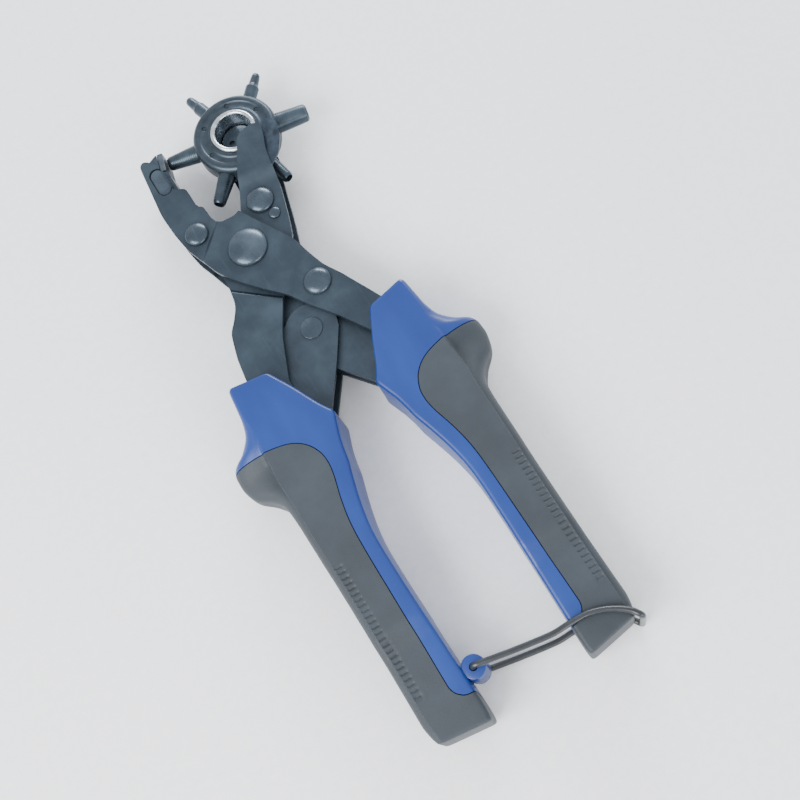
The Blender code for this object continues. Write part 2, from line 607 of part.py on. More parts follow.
# ---- handles ----------------------------------------------------------------------------
def lever_plates(side_name, inner, pin_at, pin_gap, steel, mirrored):
    if mirrored:
        outline = mirror_x(lobe(HANDLE_PIVOT_AT, LEVER_HEAD_R, 205, 48, 13) + list(LEVER_OUTER))
    else:
        head = lobe(HANDLE_PIVOT_AT, LEVER_HEAD_R, 205, 165, 4) + list(LEVER_NOSE)
        outline = head + lobe(HANDLE_PIVOT_AT, LEVER_HEAD_R, 62, 48, 3) + list(LEVER_OUTER)
    pivot_gap = GAP if mirrored else FIT
    holes = [circle(HANDLE_PIVOT_AT, HANDLE_PIVOT[0] + pivot_gap, 24), circle(pin_at, LINK_PIN + pin_gap, 22)]
    for end, side in (("front", 1), ("rear", -1)):
        name = "%s_lever_%s_plate" % (side_name, end)
        plate(name, outline, holes, inner, LEVER_T, steel, side, (), HANDLE_PIVOT_AT)


def grip_section(station):
    """One closed ring across the grip: small inner rounding, larger outer rounding."""
    x0, y0, x1, y1, half, wide, tall = station
    upper = []
    for i in range(3):
        angle = math.pi / 4 * i
        upper.append((x0 + INNER_R - INNER_R * math.cos(angle), half - INNER_R + INNER_R * math.sin(angle)))
    for i in range(4):
        angle = math.pi / 6 * (3 - i)
        upper.append((x1 - wide + wide * math.cos(angle), half - tall + tall * math.sin(angle)))
    ring = upper + [(x, -z) for x, z in reversed(upper)]
    return [(x, y0 + (y1 - y0) * (x - x0) / (x1 - x0), z) for x, z in ring]


def core_section(station, grow):
    x0, x1, y, half = station
    x0, x1, half = x0 - grow, x1 + grow, half + grow
    upper = [(x0, half), (x1 - 2.0, half), (x1, half - 2.0)]
    ring = upper + [(x, -z) for x, z in reversed(upper)]
    return [(x, y, z) for x, z in ring]


def loft(name, sections, mat, mirrored):
    """Joins matching rings into a closed solid, x from the handles' centre line."""
    verts, faces = [], []
    count = len(sections[0])
    sign = -1 if mirrored else 1
    for ring in sections:
        verts += [(AXIS_X + sign * x, y, z) for x, y, z in ring]
    for k in range(len(sections) - 1):
        for i in range(count):
            j = (i + 1) % count
            faces.append([k * count + i, k * count + j, (k + 1) * count + j, (k + 1) * count + i])
    faces.append(list(range(count)))
    faces.append([len(verts) - count + i for i in reversed(range(count))])
    return new_object(name, verts, faces, mat, HANDLE_PIVOT_AT, smooth=0.7)


def shift_line(points, distance):
    """An open line moved sideways to its left by a distance."""
    moved = []
    for i, point in enumerate(points):
        a, b = points[max(0, i - 1)], points[min(len(points) - 1, i + 1)]
        dx, dy = b[0] - a[0], b[1] - a[1]
        length = math.hypot(dx, dy)
        moved.append((point[0] - dy / length * distance, point[1] + dx / length * distance))
    return moved


def soft_region(name, distance, mat, mirrored):
    """Everything outside the overmould's edge, as a tall cutting block."""
    line = shift_line(SOFT_EDGE, -distance)
    ring = line + [(12.0, -190.0), (60.0, -190.0), (60.0, line[0][1])]
    sign = -1 if mirrored else 1
    return prism(name, [(AXIS_X + sign * x, y) for x, y in ring], -20.0, 20.0, mat)


def grown_core(name, grow, mat, mirrored):
    stations = list(CORE)
    first, last = stations[0], stations[-1]
    stations[0] = (first[0], first[1], first[2] + grow, first[3])
    stations[-1] = (last[0], last[1], last[2] - grow, last[3])
    return loft(name, [core_section(s, grow) for s in stations], mat, mirrored)


def soft_grip(side_name, mat, mirrored):
    body = loft(side_name + "_soft_grip", [grip_section(s) for s in GRIP], mat, mirrored)
    boolean(body, soft_region("tool_%s_soft" % side_name, 0.0, mat, mirrored), "INTERSECT")
    boolean(body, grown_core("tool_%s_groove" % side_name, SKIN_GAP, mat, mirrored), "DIFFERENCE")


def shell(side_name, mat, mirrored):
    """Hard housing for the jaw's tail, the inner strip and the core inside the overmould."""
    body = loft(side_name + "_shell", [grip_section(s) for s in GRIP], mat, mirrored)
    boolean(body, soft_region("tool_%s_hard" % side_name, SKIN_GAP, mat, mirrored), "DIFFERENCE")
    boolean(body, grown_core("tool_%s_core" % side_name, 0.0, mat, mirrored), "UNION")
    sign = -1 if mirrored else 1
    room = [(AXIS_X + sign * x, y) for x, y in CAVITY]
    boolean(body, prism("tool_%s_cavity" % side_name, room, -CAVITY_HALF, CAVITY_HALF, mat), "DIFFERENCE")
    tang = [(x, y) for x, y in LEVER_OUTER[3:-2]]
    pocket = grow_ring(tang, GAP)
    if mirrored:
        pocket = mirror_x(pocket)
    boolean(body, prism("tool_%s_pocket" % side_name, pocket, -POCKET_HALF, POCKET_HALF, mat), "DIFFERENCE")
    return body


def grow_ring(ring, distance):
    """A closed clockwise ring moved outwards by a distance."""
    grown = []
    for i, point in enumerate(ring):
        a, b = ring[i - 1], ring[(i + 1) % len(ring)]
        dx, dy = b[0] - a[0], b[1] - a[1]
        length = math.hypot(dx, dy)
        grown.append((point[0] - dy / length * distance, point[1] + dx / length * distance))
    return grown


def latch_lug(body, mat):
    """Ear on the left handle that carries the latch loop."""
    ear = circle(LATCH_AT, LUG_R, 24)
    boolean(body, prism("tool_lug", ear, -LUG_HALF, LUG_HALF, mat), "UNION")
    hole = circle(LATCH_AT, LATCH_WIRE + GAP, 16)
    boolean(body, prism("tool_lug_hole", hole, -GRIP_HALF, GRIP_HALF, mat), "DIFFERENCE")


# ---- wire parts ------------------------------------------------------------------------------
def wire(name, path, radius, mat, origin, segments=10):
    """A round wire along a line of points, with flat ends."""
    points = [Vector(p) for p in path]
    verts, faces = [], []
    normal = None
    for i, point in enumerate(points):
        ahead = points[min(i + 1, len(points) - 1)] - point
        behind = point - points[max(i - 1, 0)]
        tangent = (ahead.normalized() + behind.normalized()).normalized()
        if normal is None:
            normal = tangent.orthogonal().normalized()
        normal = (normal - tangent * normal.dot(tangent)).normalized()
        side = tangent.cross(normal)
        for k in range(segments):
            angle = 2 * math.pi * k / segments
            verts.append(tuple(point + radius * (math.cos(angle) * normal + math.sin(angle) * side)))
    for i in range(len(points) - 1):
        for k in range(segments):
            m = (k + 1) % segments
            faces.append([i * segments + k, i * segments + m, (i + 1) * segments + m, (i + 1) * segments + k])
    faces.append(list(range(segments)))
    faces.append([len(verts) - segments + k for k in reversed(range(segments))])
    return new_object(name, verts, faces, mat, origin, smooth=0.8)


def rounded(path, radius, steps=3):
    """Replaces each inner corner of a line with a short bend."""
    points = [Vector(p) for p in path]
    result = [points[0]]
    for before, corner, after in zip(points, points[1:], points[2:]):
        near = corner + (before - corner).normalized() * min(radius, (before - corner).length * 0.45)
        far = corner + (after - corner).normalized() * min(radius, (after - corner).length * 0.45)
        for i in range(steps + 1):
            t = i / steps
            result.append((1 - t) ** 2 * near + 2 * t * (1 - t) * corner + t * t * far)
    return [tuple(p) for p in result + [points[-1]]]


def turned(point, degrees):
    turn = math.radians(degrees)
    c, s = math.cos(turn), math.sin(turn)
    return point[0] * c - point[1] * s, point[0] * s + point[1] * c


def latch_loop(mat):
    """Wire loop: two legs astride the right handle, joined by a bar behind its edge."""
    leg = [turned(p, LATCH_PARKED) for p in LEG_PATH]
    leg = [(LATCH_AT[0] + x, LATCH_AT[1] + y) for x, y in leg]
    bar = turned(LATCH_BAR, LATCH_PARKED)
    bar = (LATCH_AT[0] + bar[0], LATCH_AT[1] + bar[1])
    upper = [(*LATCH_AT, 3.0)] + [(x, y, LATCH_Z) for x, y in leg] + [(*bar, LATCH_Z)]
    lower = [(x, y, -z) for x, y, z in reversed(upper)]
    wire("latch_loop", rounded(upper + lower, 1.6), LATCH_WIRE, mat, LATCH_AT)


def return_spring(mat):
    """Torsion spring round the handle pivot, with a leg against each handle."""
    turns, steps = 1.5, 22
    cx, cy = HANDLE_PIVOT_AT
    pitch = 2 * SPRING_WIRE + 0.12
    coil = []
    for i in range(steps + 1):
        angle = math.pi * (1 + 2 * turns * i / steps)
        height = pitch * turns * (0.5 - i / steps) * 0.9
        coil.append((cx + SPRING_COIL * math.cos(angle), cy + SPRING_COIL * math.sin(angle), height))
    top, low = coil[0][2], coil[-1][2]
    left = [(cx - 13.4, cy - 28.6, top), (cx - SPRING_COIL - 0.6, cy - 6.0, top)]
    right = [(cx + SPRING_COIL + 0.6, cy - 6.0, low), (cx + 13.4, cy - 28.6, low)]
    wire("return_spring", left + coil + right, SPRING_WIRE, mat, HANDLE_PIVOT_AT, segments=8)


def handle_pivot(mat):
    rivet("handle_pivot_rivet", HANDLE_PIVOT_AT, HANDLE_PIVOT, LEVER_L_IN + LEVER_T, mat)


def world_box():
    depsgraph = bpy.context.evaluated_depsgraph_get()
    low, high = Vector((1e9,) * 3), Vector((-1e9,) * 3)
    for obj in bpy.data.objects:
        if obj.type != "MESH" or obj.hide_render:
            continue
        shape = obj.evaluated_get(depsgraph)
        for corner in shape.bound_box:
            point = shape.matrix_world @ Vector(corner)
            low = Vector(map(min, low, point))
            high = Vector(map(max, high, point))
    return low, high


def centre_on_table():
    """Moves every object so that the plier's footprint is centred on the origin."""
    low, high = world_box()
    shift = Vector((-(low.x + high.x) / 2, -(low.y + high.y) / 2, -low.z))
    for obj in bpy.data.objects:
        obj.location += shift
    print("shift mm", [round(v / MM, 3) for v in shift])
    print("size mm", [round(v / MM, 3) for v in high - low])
    for label, point in (("main", (0.0, 0.0)), ("handle", HANDLE_PIVOT_AT), ("hub", HUB),
                         ("link right", LINK_PIN_R), ("link left", LINK_PIN_L), ("latch", LATCH_AT)):
        print("axis", label, [round(point[i] + shift[i] / MM, 3) for i in (0, 1)])


def build():
    clear_scene()
    plate_steel, rivet_steel = black_oxide_plate(), black_rivet_steel()
    anvil_jaw(plate_steel)
    anvil_parts(rivet_steel, pad_steel())
    anvil_jaw_pins(rivet_steel)
    turret_jaw(plate_steel)
    turret_jaw_pins(rivet_steel)
    hub_axle(rivet_steel)
    index_spring(spring_steel())
    turret_wheel(cast_wheel_steel())
    hub_eyelet(zinc_eyelet())
    punch_tubes(turned_tube_steel())
    lever_plates("right", LEVER_R_IN, LINK_PIN_R, GAP, plate_steel, False)
    lever_plates("left", LEVER_L_IN, LINK_PIN_L, GAP + LOOP_PLAY, plate_steel, True)
    handle_pivot(rivet_steel)
    hard, soft = hard_plastic(), soft_plastic()
    for side_name, mirrored in (("right", False), ("left", True)):
        soft_grip(side_name, soft, mirrored)
        body = shell(side_name, hard, mirrored)
        if mirrored:
            latch_lug(body, hard)
    return_spring(spring_steel())
    latch_loop(wire_steel())
    centre_on_table()


build()
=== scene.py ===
# %% [markdown]
# # A rotary hole punch, piece by piece
# A rotary hole punch is a plier with a wheel of punch tubes on one jaw and an anvil on the
# other. This lesson models its visible pieces one after another. Every piece is a separate
# mesh, so that the jaws, the wheel, the handles and the latch can move on their own.
#
# The engineering model is loaded first. It fixes where everything is and how it moves. The
# pieces made here are finer versions of its solids, with the finish of the real material.

# %% Load the fixed frame
import math

import bmesh
import bpy
from mathutils import Matrix, Vector


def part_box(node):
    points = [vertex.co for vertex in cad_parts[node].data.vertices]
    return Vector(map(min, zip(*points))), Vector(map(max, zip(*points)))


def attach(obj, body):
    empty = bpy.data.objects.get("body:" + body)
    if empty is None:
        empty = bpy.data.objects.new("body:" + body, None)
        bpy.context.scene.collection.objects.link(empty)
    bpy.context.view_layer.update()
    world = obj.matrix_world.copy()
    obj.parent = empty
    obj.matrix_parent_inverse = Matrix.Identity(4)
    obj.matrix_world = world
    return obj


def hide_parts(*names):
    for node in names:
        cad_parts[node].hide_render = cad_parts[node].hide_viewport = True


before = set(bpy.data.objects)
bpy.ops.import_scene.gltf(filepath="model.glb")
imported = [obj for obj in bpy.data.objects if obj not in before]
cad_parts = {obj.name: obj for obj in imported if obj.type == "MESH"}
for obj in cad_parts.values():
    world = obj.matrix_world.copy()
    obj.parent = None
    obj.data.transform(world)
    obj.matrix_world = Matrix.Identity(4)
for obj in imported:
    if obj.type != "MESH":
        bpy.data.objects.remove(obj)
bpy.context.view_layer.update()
print("nodes:", len(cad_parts))

# %% [markdown]
# ## Measuring from the main pivot
# The plier is drawn in millimetres from its main pivot, with height counted from the middle of
# its thickness. That is how a fitter would dimension it, because every plate turns about that
# pivot. One function turns such a point into a place in the scene. The pivot itself is read
# from the loaded model, so nothing here has to know where the plier lies.

# %% From millimetres at the pivot to the scene
MM = 0.001
GRIP_HALF = 11.0
pivot_low, pivot_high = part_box("main_pivot_rivet")
PIVOT = (pivot_low + pivot_high) / 2
PIVOT.z = pivot_low.z + GRIP_HALF * MM


def place(x, y, z):
    return PIVOT + Vector((x, y, z)) * MM


def at(node_name):
    """Centre of a node's plan, in millimetres from the pivot."""
    low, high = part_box(node_name)
    middle = ((low + high) / 2 - PIVOT) / MM
    return middle.x, middle.y


print("main pivot is at", [round(v, 4) for v in PIVOT])

# %% [markdown]
# ## Making a mesh
# All pieces go through one function. It takes points and faces, makes the normals face out,
# shades the surface smooth except across real edges, and links the piece to the body that it
# moves with. It also hides the solid of the engineering model that the piece stands for. Sharp
# edges then get a small bevel, because no stamped or moulded edge is perfectly sharp, and the
# thin line of light on it is what makes an edge look real.

# %% One way to make a piece
def finish_piece(piece, body, node_name=None, sharp=35, bevel=0.0, steps=2):
    piece.data.shade_smooth()
    piece.data.set_sharp_from_angle(angle=math.radians(sharp))
    if bevel:
        mod = piece.modifiers.new("broken edges", "BEVEL")
        mod.width = bevel * MM
        mod.segments = steps
        mod.limit_method = "ANGLE"
        mod.angle_limit = math.radians(40)
        mod.harden_normals = True
    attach(piece, body)
    if node_name:
        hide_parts(node_name)
    return piece


def solid(name, verts, faces, finish):
    """A mesh object from millimetre points."""
    mesh = bpy.data.meshes.new(name)
    mesh.from_pydata([place(*v) for v in verts], [], faces)
    work = bmesh.new()
    work.from_mesh(mesh)
    bmesh.ops.remove_doubles(work, verts=work.verts, dist=1e-7)
    bmesh.ops.recalc_face_normals(work, faces=work.faces)
    work.to_mesh(mesh)
    work.free()
    mesh.materials.append(finish)
    piece = bpy.data.objects.new(name, mesh)
    bpy.context.scene.collection.objects.link(piece)
    return piece


# %% [markdown]
# ## Colours
# Paint and plastic makers give colours as sRGB hex codes. A shader works with linear light, so
# one function converts every code.

# %% Hex code to linear colour
def linear(code):
    out = []
    for i in (0, 2, 4):
        c = int(code[i:i + 2], 16) / 255
        out.append(c / 12.92 if c <= 0.04045 else ((c + 0.055) / 1.055) ** 2.4)
    return (*out, 1.0)


print("a mid grey in linear light:", [round(c, 3) for c in linear("808080")[:3]])

# %% [markdown]
# ## Building a node material
# A material is a small graph. One helper adds any node, sets its values and connects its
# inputs, so that each material below reads as a short list of what happens to the surface.
# Texture coordinates are the object's own, in metres. A pattern with a period of p
# millimetres therefore needs a scale of 1000 / p.

# %% Add a node with its settings and links
def add_node(mat, kind, links=(), **settings):
    item = mat.node_tree.nodes.new("ShaderNode" + kind)
    for key, value in settings.items():
        socket = key.replace("_", " ")
        if socket in item.inputs:
            item.inputs[socket].default_value = value
        else:
            setattr(item, key, value)
    for socket, source in links:
        mat.node_tree.links.new(source, item.inputs[socket])
    return item


def new_finish(name, colour, metallic, roughness, **more):
    mat = bpy.data.materials.new(name)
    mat.use_nodes = True
    shader = mat.node_tree.nodes["Principled BSDF"]
    values = {"Base Color": linear(colour), "Metallic": metallic, "Roughness": roughness}
    values.update({key.replace("_", " "): value for key, value in more.items()})
    for key, value in values.items():
        shader.inputs[key].default_value = value
    return mat, shader, add_node(mat, "TexCoord").outputs["Object"]


def period(mm):
    return 1000.0 / mm


def steps_between(mat, source, codes, start=0.3, end=0.7):
    """A pattern turned to colours, spread evenly between two of its values."""
    item = add_node(mat, "ValToRGB", [("Fac", source)])
    ramp = item.color_ramp
    while len(ramp.elements) < len(codes):
        ramp.elements.new(0.5)
    for i, code in enumerate(codes):
        ramp.elements[i].position = start + (end - start) * i / (len(codes) - 1)
        ramp.elements[i].color = linear(code)
    return item.outputs["Color"]


def span(mat, source, low, high, start=0.3, end=0.7):
    """A pattern turned to a range of numbers, such as roughness."""
    item = add_node(
        mat, "MapRange", [("Value", source)], From_Min=start, From_Max=end, To_Min=low, To_Max=high)
    return item.outputs["Result"]


def add(mat, first, second, how="ADD"):
    item = add_node(mat, "Math", [(0, first), (1, second)], operation=how)
    return item.outputs["Value"]


def cover(mat, factor, under, code):
    """A fixed colour laid over another one where a pattern is strong."""
    item = add_node(mat, "Mix", data_type="RGBA")
    first, second = [s for s in item.inputs if s.type == "RGBA"]
    second.default_value = linear(code)
    mat.node_tree.links.new(factor, item.inputs[0])
    mat.node_tree.links.new(under, first)
    return [s for s in item.outputs if s.type == "RGBA"][0]


def relief(mat, height, depth_mm, under=None):
    """Bump from a pattern, with its depth in millimetres."""
    links = [("Height", height)] + ([("Normal", under)] if under else [])
    return add_node(mat, "Bump", links, Strength=1.0, Distance=depth_mm * MM).outputs["Normal"]


def noise(mat, where, mm, detail=4.0, rough=0.6):
    item = add_node(mat, "TexNoise", [("Vector", where)], Scale=period(mm), Detail=detail, Roughness=rough)
    return item.outputs["Fac"]


def stretch(mat, where, x, y, z, turn=0.0):
    item = add_node(
        mat, "Mapping", [("Vector", where)], Scale=(x, y, z), Rotation=(0.0, 0.0, math.radians(turn)))
    return item.outputs["Vector"]


def feed(mat, shader, **sources):
    for key, source in sources.items():
        mat.node_tree.links.new(source, shader.inputs[key.replace("_", " ")])


# %% [markdown]
# ## Black-oxide steel
# The plates are stamped from sheet steel, tumbled, and blackened in hot oxide salts. The layer
# is under a micrometre thick, so the steel stays a metal with its own sheen, only dark and
# slightly blue. Tumbling leaves a fine random relief and faint scuffs. The real grain is about
# 0.1 mm; it is drawn at 0.45 mm, because a view of the whole plier would not show it.

# %% Black-oxide plate and rivet steel
def oxide_steel(name, dark, mid, light, rough, grain_mm, depth_mm, turn=0.0):
    mat, shader, where = new_finish(name, mid, 0.62, rough, Specular_IOR_Level=0.5)
    cloud = noise(mat, where, 16, 5.0)
    grain = noise(mat, where, grain_mm, 3.0, 0.65)
    scuffs = noise(mat, stretch(mat, where, 1.0, 0.06, 1.0, turn), 1.1, 3.0)
    tone = steps_between(mat, cloud, (dark, mid, light))
    tone = cover(mat, span(mat, scuffs, 0.0, 0.45, 0.58, 0.74), tone, light)
    gloss = add(mat, span(mat, cloud, rough - 0.05, rough + 0.07), span(mat, grain, -0.05, 0.06))
    waves = relief(mat, noise(mat, where, 9, 2.0), 0.10)
    feed(mat, shader, Base_Color=tone, Roughness=gloss, Normal=relief(mat, grain, depth_mm, waves))
    return mat


plate_steel = oxide_steel("black_oxide_sheet_steel", "28333c", "2f3a44", "394650", 0.40, 0.45, 0.012, 25)
rivet_steel = oxide_steel("black_oxide_rivet_steel", "2e3841", "38434d", "4a5661", 0.27, 0.6, 0.006, -40)
lever_steel = oxide_steel("black_oxide_lever_steel", "2a333c", "313c46", "3c4853", 0.43, 0.5, 0.014, 60)
print("steel finishes:", plate_steel.name, rivet_steel.name, lever_steel.name)

# %% [markdown]
# ## Turned steel
# Punch tubes are turned on a lathe before they are blackened. The tool leaves fine rings round
# the tube. The rings are a wave along the tube's own axis, so each tube needs the direction of
# that axis: the distance from the hub is the same thing for a tube that points away from it.

# %% Turned tubes and the lacquered wheel
def turned_steel(name, hub, dark, light, rough, pitch_mm, depth_mm):
    mat, shader, where = new_finish(name, dark, 0.7, rough)
    centred = add_node(mat, "VectorMath", [(0, where)], operation="SUBTRACT")
    centred.inputs[1].default_value = place(*hub, 0.0)
    reach = add_node(mat, "VectorMath", [(0, centred.outputs["Vector"])], operation="LENGTH").outputs["Value"]
    rings = add_node(mat, "Math", [(0, reach)], operation="MULTIPLY")
    rings.inputs[1].default_value = 2 * math.pi * period(pitch_mm)
    wave = add_node(mat, "Math", [(0, rings.outputs["Value"])], operation="SINE").outputs["Value"]
    cloud = noise(mat, where, 5, 4.0)
    tone = steps_between(mat, cloud, (dark, light))
    gloss = add(mat, span(mat, cloud, rough - 0.05, rough + 0.08), span(mat, wave, -0.03, 0.04, -1.0, 1.0))
    feed(mat, shader, Base_Color=tone, Roughness=gloss,
         Normal=relief(mat, wave, depth_mm, relief(mat, noise(mat, where, 0.5), 0.006)))
    return mat


HUB = at("turret_wheel")
tube_steel = turned_steel("turned_blackened_tube_steel", HUB, "2e3941", "414d57", 0.31, 0.7, 0.012)
wheel_steel = turned_steel("lacquered_turned_wheel_steel", HUB, "2c353d", "39444d", 0.34, 0.9, 0.008)
print("the wheel turns about", [round(v, 2) for v in HUB])


# %% [markdown]
# ## Nickel, ground steel, spring steel and wire
# The eyelet is bright nickel over brass, rolled to shape, so it is smooth with very fine
# drawing scratches. The anvil pad is steel ground flat, with grinding lines along it and a
# grey surface. Spring parts are polished before they are blued, so they shine more than the
# plates. The latch wire has a thin coat of black lacquer.

# %% Small metal finishes
def bright_metal(name, dark, light, rough, scratch_mm, depth_mm, stretch_by, metallic=1.0):
    mat, shader, where = new_finish(name, light, metallic, rough)
    cloud = noise(mat, where, 4, 4.0)
    scratch = noise(mat, stretch(mat, where, *stretch_by), scratch_mm, 3.0)
    tone = steps_between(mat, cloud, (dark, light))
    gloss = add(mat, span(mat, cloud, rough - 0.04, rough + 0.10), span(mat, scratch, -0.03, 0.05))
    feed(mat, shader, Base_Color=tone, Roughness=gloss, Normal=relief(mat, scratch, depth_mm))
    return mat


nickel = bright_metal("bright_nickel_eyelet", "a9b0b6", "d9dde0", 0.20, 0.8, 0.006, (1.0, 1.0, 0.1))
pad_steel = bright_metal("ground_steel_pad", "434b53", "5d666f", 0.38, 0.6, 0.010, (0.2, 1.0, 1.0), 0.8)
blued = bright_metal(
    "polished_blued_spring_steel", "2a313a", "46525f", 0.26, 0.7, 0.006, (1.0, 0.15, 1.0), 0.85)


def lacquered_wire():
    """Thin black lacquer on drawn wire, with a little orange peel."""
    mat, shader, where = new_finish(
        "black_lacquered_spring_wire", "191e23", 0.0, 0.38, IOR=1.5, Coat_Weight=0.15)
    cloud = noise(mat, where, 6, 4.0)
    peel = noise(mat, where, 0.9, 2.0)
    feed(mat, shader, Base_Color=steps_between(mat, cloud, ("14181c", "23292f")),
         Roughness=span(mat, peel, 0.28, 0.42), Normal=relief(mat, peel, 0.02))
    return mat


wire_black = lacquered_wire()
print("small metals:", nickel.name, pad_steel.name, blued.name, wire_black.name)

# %% [markdown]
# ## Moulded plastics
# The housings are injection-moulded polypropylene, coloured right through. Such a moulding has
# a fine satin from the tool's spark-eroded wall and very slight flow marks in its tone.
# The grips are a thermoplastic rubber moulded over it: matt, a little lighter where it is
# handled, with a coarser eroded grain. IOR is 1.49 for polypropylene and 1.5 for the rubber.

# %% Polypropylene and thermoplastic rubber
def polypropylene():
    mat, shader, where = new_finish("moulded_blue_polypropylene", "123478", 0.0, 0.36, IOR=1.49)
    flow = noise(mat, stretch(mat, where, 1.0, 0.35, 1.0), 22, 3.0)
    satin = noise(mat, where, 0.40, 2.0)
    speck = noise(mat, where, 2.2, 5.0)
    tone = steps_between(mat, flow, ("0b2a6b", "0e2f73", "12367c"))
    tone = cover(mat, span(mat, speck, 0.0, 0.3, 0.60, 0.75), tone, "183c83")
    gloss = add(mat, span(mat, flow, 0.32, 0.42), span(mat, satin, -0.04, 0.05))
    feed(mat, shader, Base_Color=tone, Roughness=gloss,
         Normal=relief(mat, satin, 0.012, relief(mat, noise(mat, where, 12, 2.0), 0.06)))
    return mat


def thermoplastic_rubber():
    mat, shader, where = new_finish("overmoulded_thermoplastic_rubber", "2a323a", 0.0, 0.62, IOR=1.5,
                                    Sheen_Weight=0.03, Sheen_Roughness=0.5)
    rubbed = noise(mat, where, 18, 4.0)
    erosion = noise(mat, where, 0.55, 3.0, 0.7)
    cells = add_node(mat, "TexVoronoi", [("Vector", where)], Scale=period(0.8)).outputs["Distance"]
    tone = steps_between(mat, rubbed, ("1e252c", "232b32", "29323a"))
    tone = cover(mat, span(mat, erosion, 0.0, 0.25, 0.56, 0.74), tone, "323c45")
    gloss = add(mat, span(mat, rubbed, 0.56, 0.68), span(mat, erosion, -0.05, 0.05))
    feed(mat, shader, Base_Color=tone, Roughness=gloss,
         Normal=relief(mat, erosion, 0.035, relief(mat, cells, 0.02)))
    return mat


hard_blue = polypropylene()
soft_grey = thermoplastic_rubber()
print("plastics:", hard_blue.name, soft_grey.name)

# %% [markdown]
# ## Outlines with real corners
# Sheet-metal blanks are cut with a die whose corners are rounded, since a sharp die corner
# cracks. So the outline of a plate is given as a few corner points, and each corner is
# replaced by a short curve. A hole is a ring of points. Both are helpers for flat shapes.

# %% Rings of points
def circle(centre, radius, count, start=0.0, end=360.0, whole=True):
    steps = count if whole else count - 1
    turns = [math.radians(start + (end - start) * i / steps) for i in range(count)]
    return [(centre[0] + radius * math.cos(a), centre[1] + radius * math.sin(a)) for a in turns]


def lobe(centre, radius, start, end, count=22):
    return circle(centre, radius, count, start, end, whole=False)


def corner_curve(before, corner, after, radius, steps, most):
    """A curve for one corner, which starts a radius away or at a share of a short side."""
    back, ahead = before - corner, after - corner
    near = corner + back.normalized() * min(radius, back.length * most)
    far = corner + ahead.normalized() * min(radius, ahead.length * most)
    shares = [k / steps for k in range(steps + 1)]
    return [(1 - t) ** 2 * near + 2 * t * (1 - t) * corner + t * t * far for t in shares]


def rounded(ring, radius, steps=4, closed=True):
    """Every corner of a ring of points replaced by a curve."""
    points = [Vector(p) for p in ring]
    count = len(points)
    out = []
    for i, corner in enumerate(points):
        if not closed and i in (0, count - 1):
            out.append(tuple(corner))
            continue
        curve = corner_curve(points[i - 1], corner, points[(i + 1) % count], radius, steps, 0.46)
        out += [tuple(p) for p in curve]
    return out


def slot_ring(centre, half, count=16):
    rise = half[1] - half[0]
    top = lobe((centre[0], centre[1] + rise), half[0], 0, 180, count)
    return top + lobe((centre[0], centre[1] - rise), half[0], 180, 360, count)


print("a circle of 12 points starts at", circle((0, 0), 1.0, 12)[0])

# %% [markdown]
# ## Joggled plates
# The jaws are pairs of plates. Where two jaws cross, the plates of one must pass outside the
# other's, and a short step called a joggle brings them back in line further on. A plate is
# made here in four steps: fill the outline and its holes, cut the flat sheet along lines
# across each joggle, give it its thickness, and lift every point by an S-shaped ramp. The
# cuts make the ramp smooth, and a real press brake leaves the same soft bends.

# %% Sheet with bends
BEND_CUTS = 8
FLAT_SHARP = 32


def sheet_faces(outline, holes, bends):
    work = bmesh.new()
    for ring in [outline] + list(holes):
        verts = [work.verts.new((x, y, 0.0)) for x, y in ring]
        for a, b in zip(verts, verts[1:] + verts[:1]):
            work.edges.new((a, b))
    bmesh.ops.triangle_fill(work, edges=work.edges[:], use_beauty=True)
    for (nx, ny), start, end, _ in bends:
        for k in range(BEND_CUTS + 1):
            along = start + (end - start) * k / BEND_CUTS
            geom = work.verts[:] + work.edges[:] + work.faces[:]
            bmesh.ops.bisect_plane(
                work, geom=geom, plane_co=(nx * along, ny * along, 0.0), plane_no=(nx, ny, 0.0), dist=1e-5)
    work.verts.index_update()
    points = [(v.co.x, v.co.y) for v in work.verts]
    faces = [[v.index for v in f.verts] for f in work.faces]
    rim = [[v.index for v in e.verts] for e in work.edges if len(e.link_faces) == 1]
    work.free()
    return points, faces, rim


def lift(point, bends):
    total = 0.0
    for (nx, ny), start, end, rise in bends:
        t = min(1.0, max(0.0, (point[0] * nx + point[1] * ny - start) / (end - start)))
        total += rise * t * t * (3 - 2 * t)
    return total


def merge_flats(piece):
    """Joins the triangles of each flat area into one face, so that a bevel runs cleanly."""
    work = bmesh.new()
    work.from_mesh(piece.data)
    bmesh.ops.dissolve_limit(
        work, angle_limit=math.radians(0.4), verts=work.verts[:], edges=work.edges[:],
        use_dissolve_boundaries=False)
    work.to_mesh(piece.data)
    work.free()


def extruded(name, outline, holes, heights, finish, side=1, bends=()):
    """A flat outline given two faces and a wall between them, then its bends."""
    points, faces, rim = sheet_faces(outline, holes, bends)
    verts = [(x, y, side * (low + lift((x, y), bends))) for low in heights for x, y in points]
    count = len(points)
    solid_faces = list(faces) + [[i + count for i in reversed(f)] for f in faces]
    solid_faces += [[a, b, b + count, a + count] for a, b in rim]
    piece = solid(name, verts, solid_faces, finish)
    merge_flats(piece)
    return piece


def plate(name, outline, holes, inner, thick, finish, body, node_name, side=1, bends=(), bevel=0.28):
    piece = extruded(name, outline, holes, (inner, inner + thick), finish, side, bends)
    return finish_piece(piece, body, node_name, FLAT_SHARP, bevel, 3)


def block(name, outline, low, high, finish, body, node_name=None, bevel=0.3):
    piece = extruded(name, outline, (), (low, high), finish)
    return finish_piece(piece, body, node_name, FLAT_SHARP, bevel, 2) if body else piece


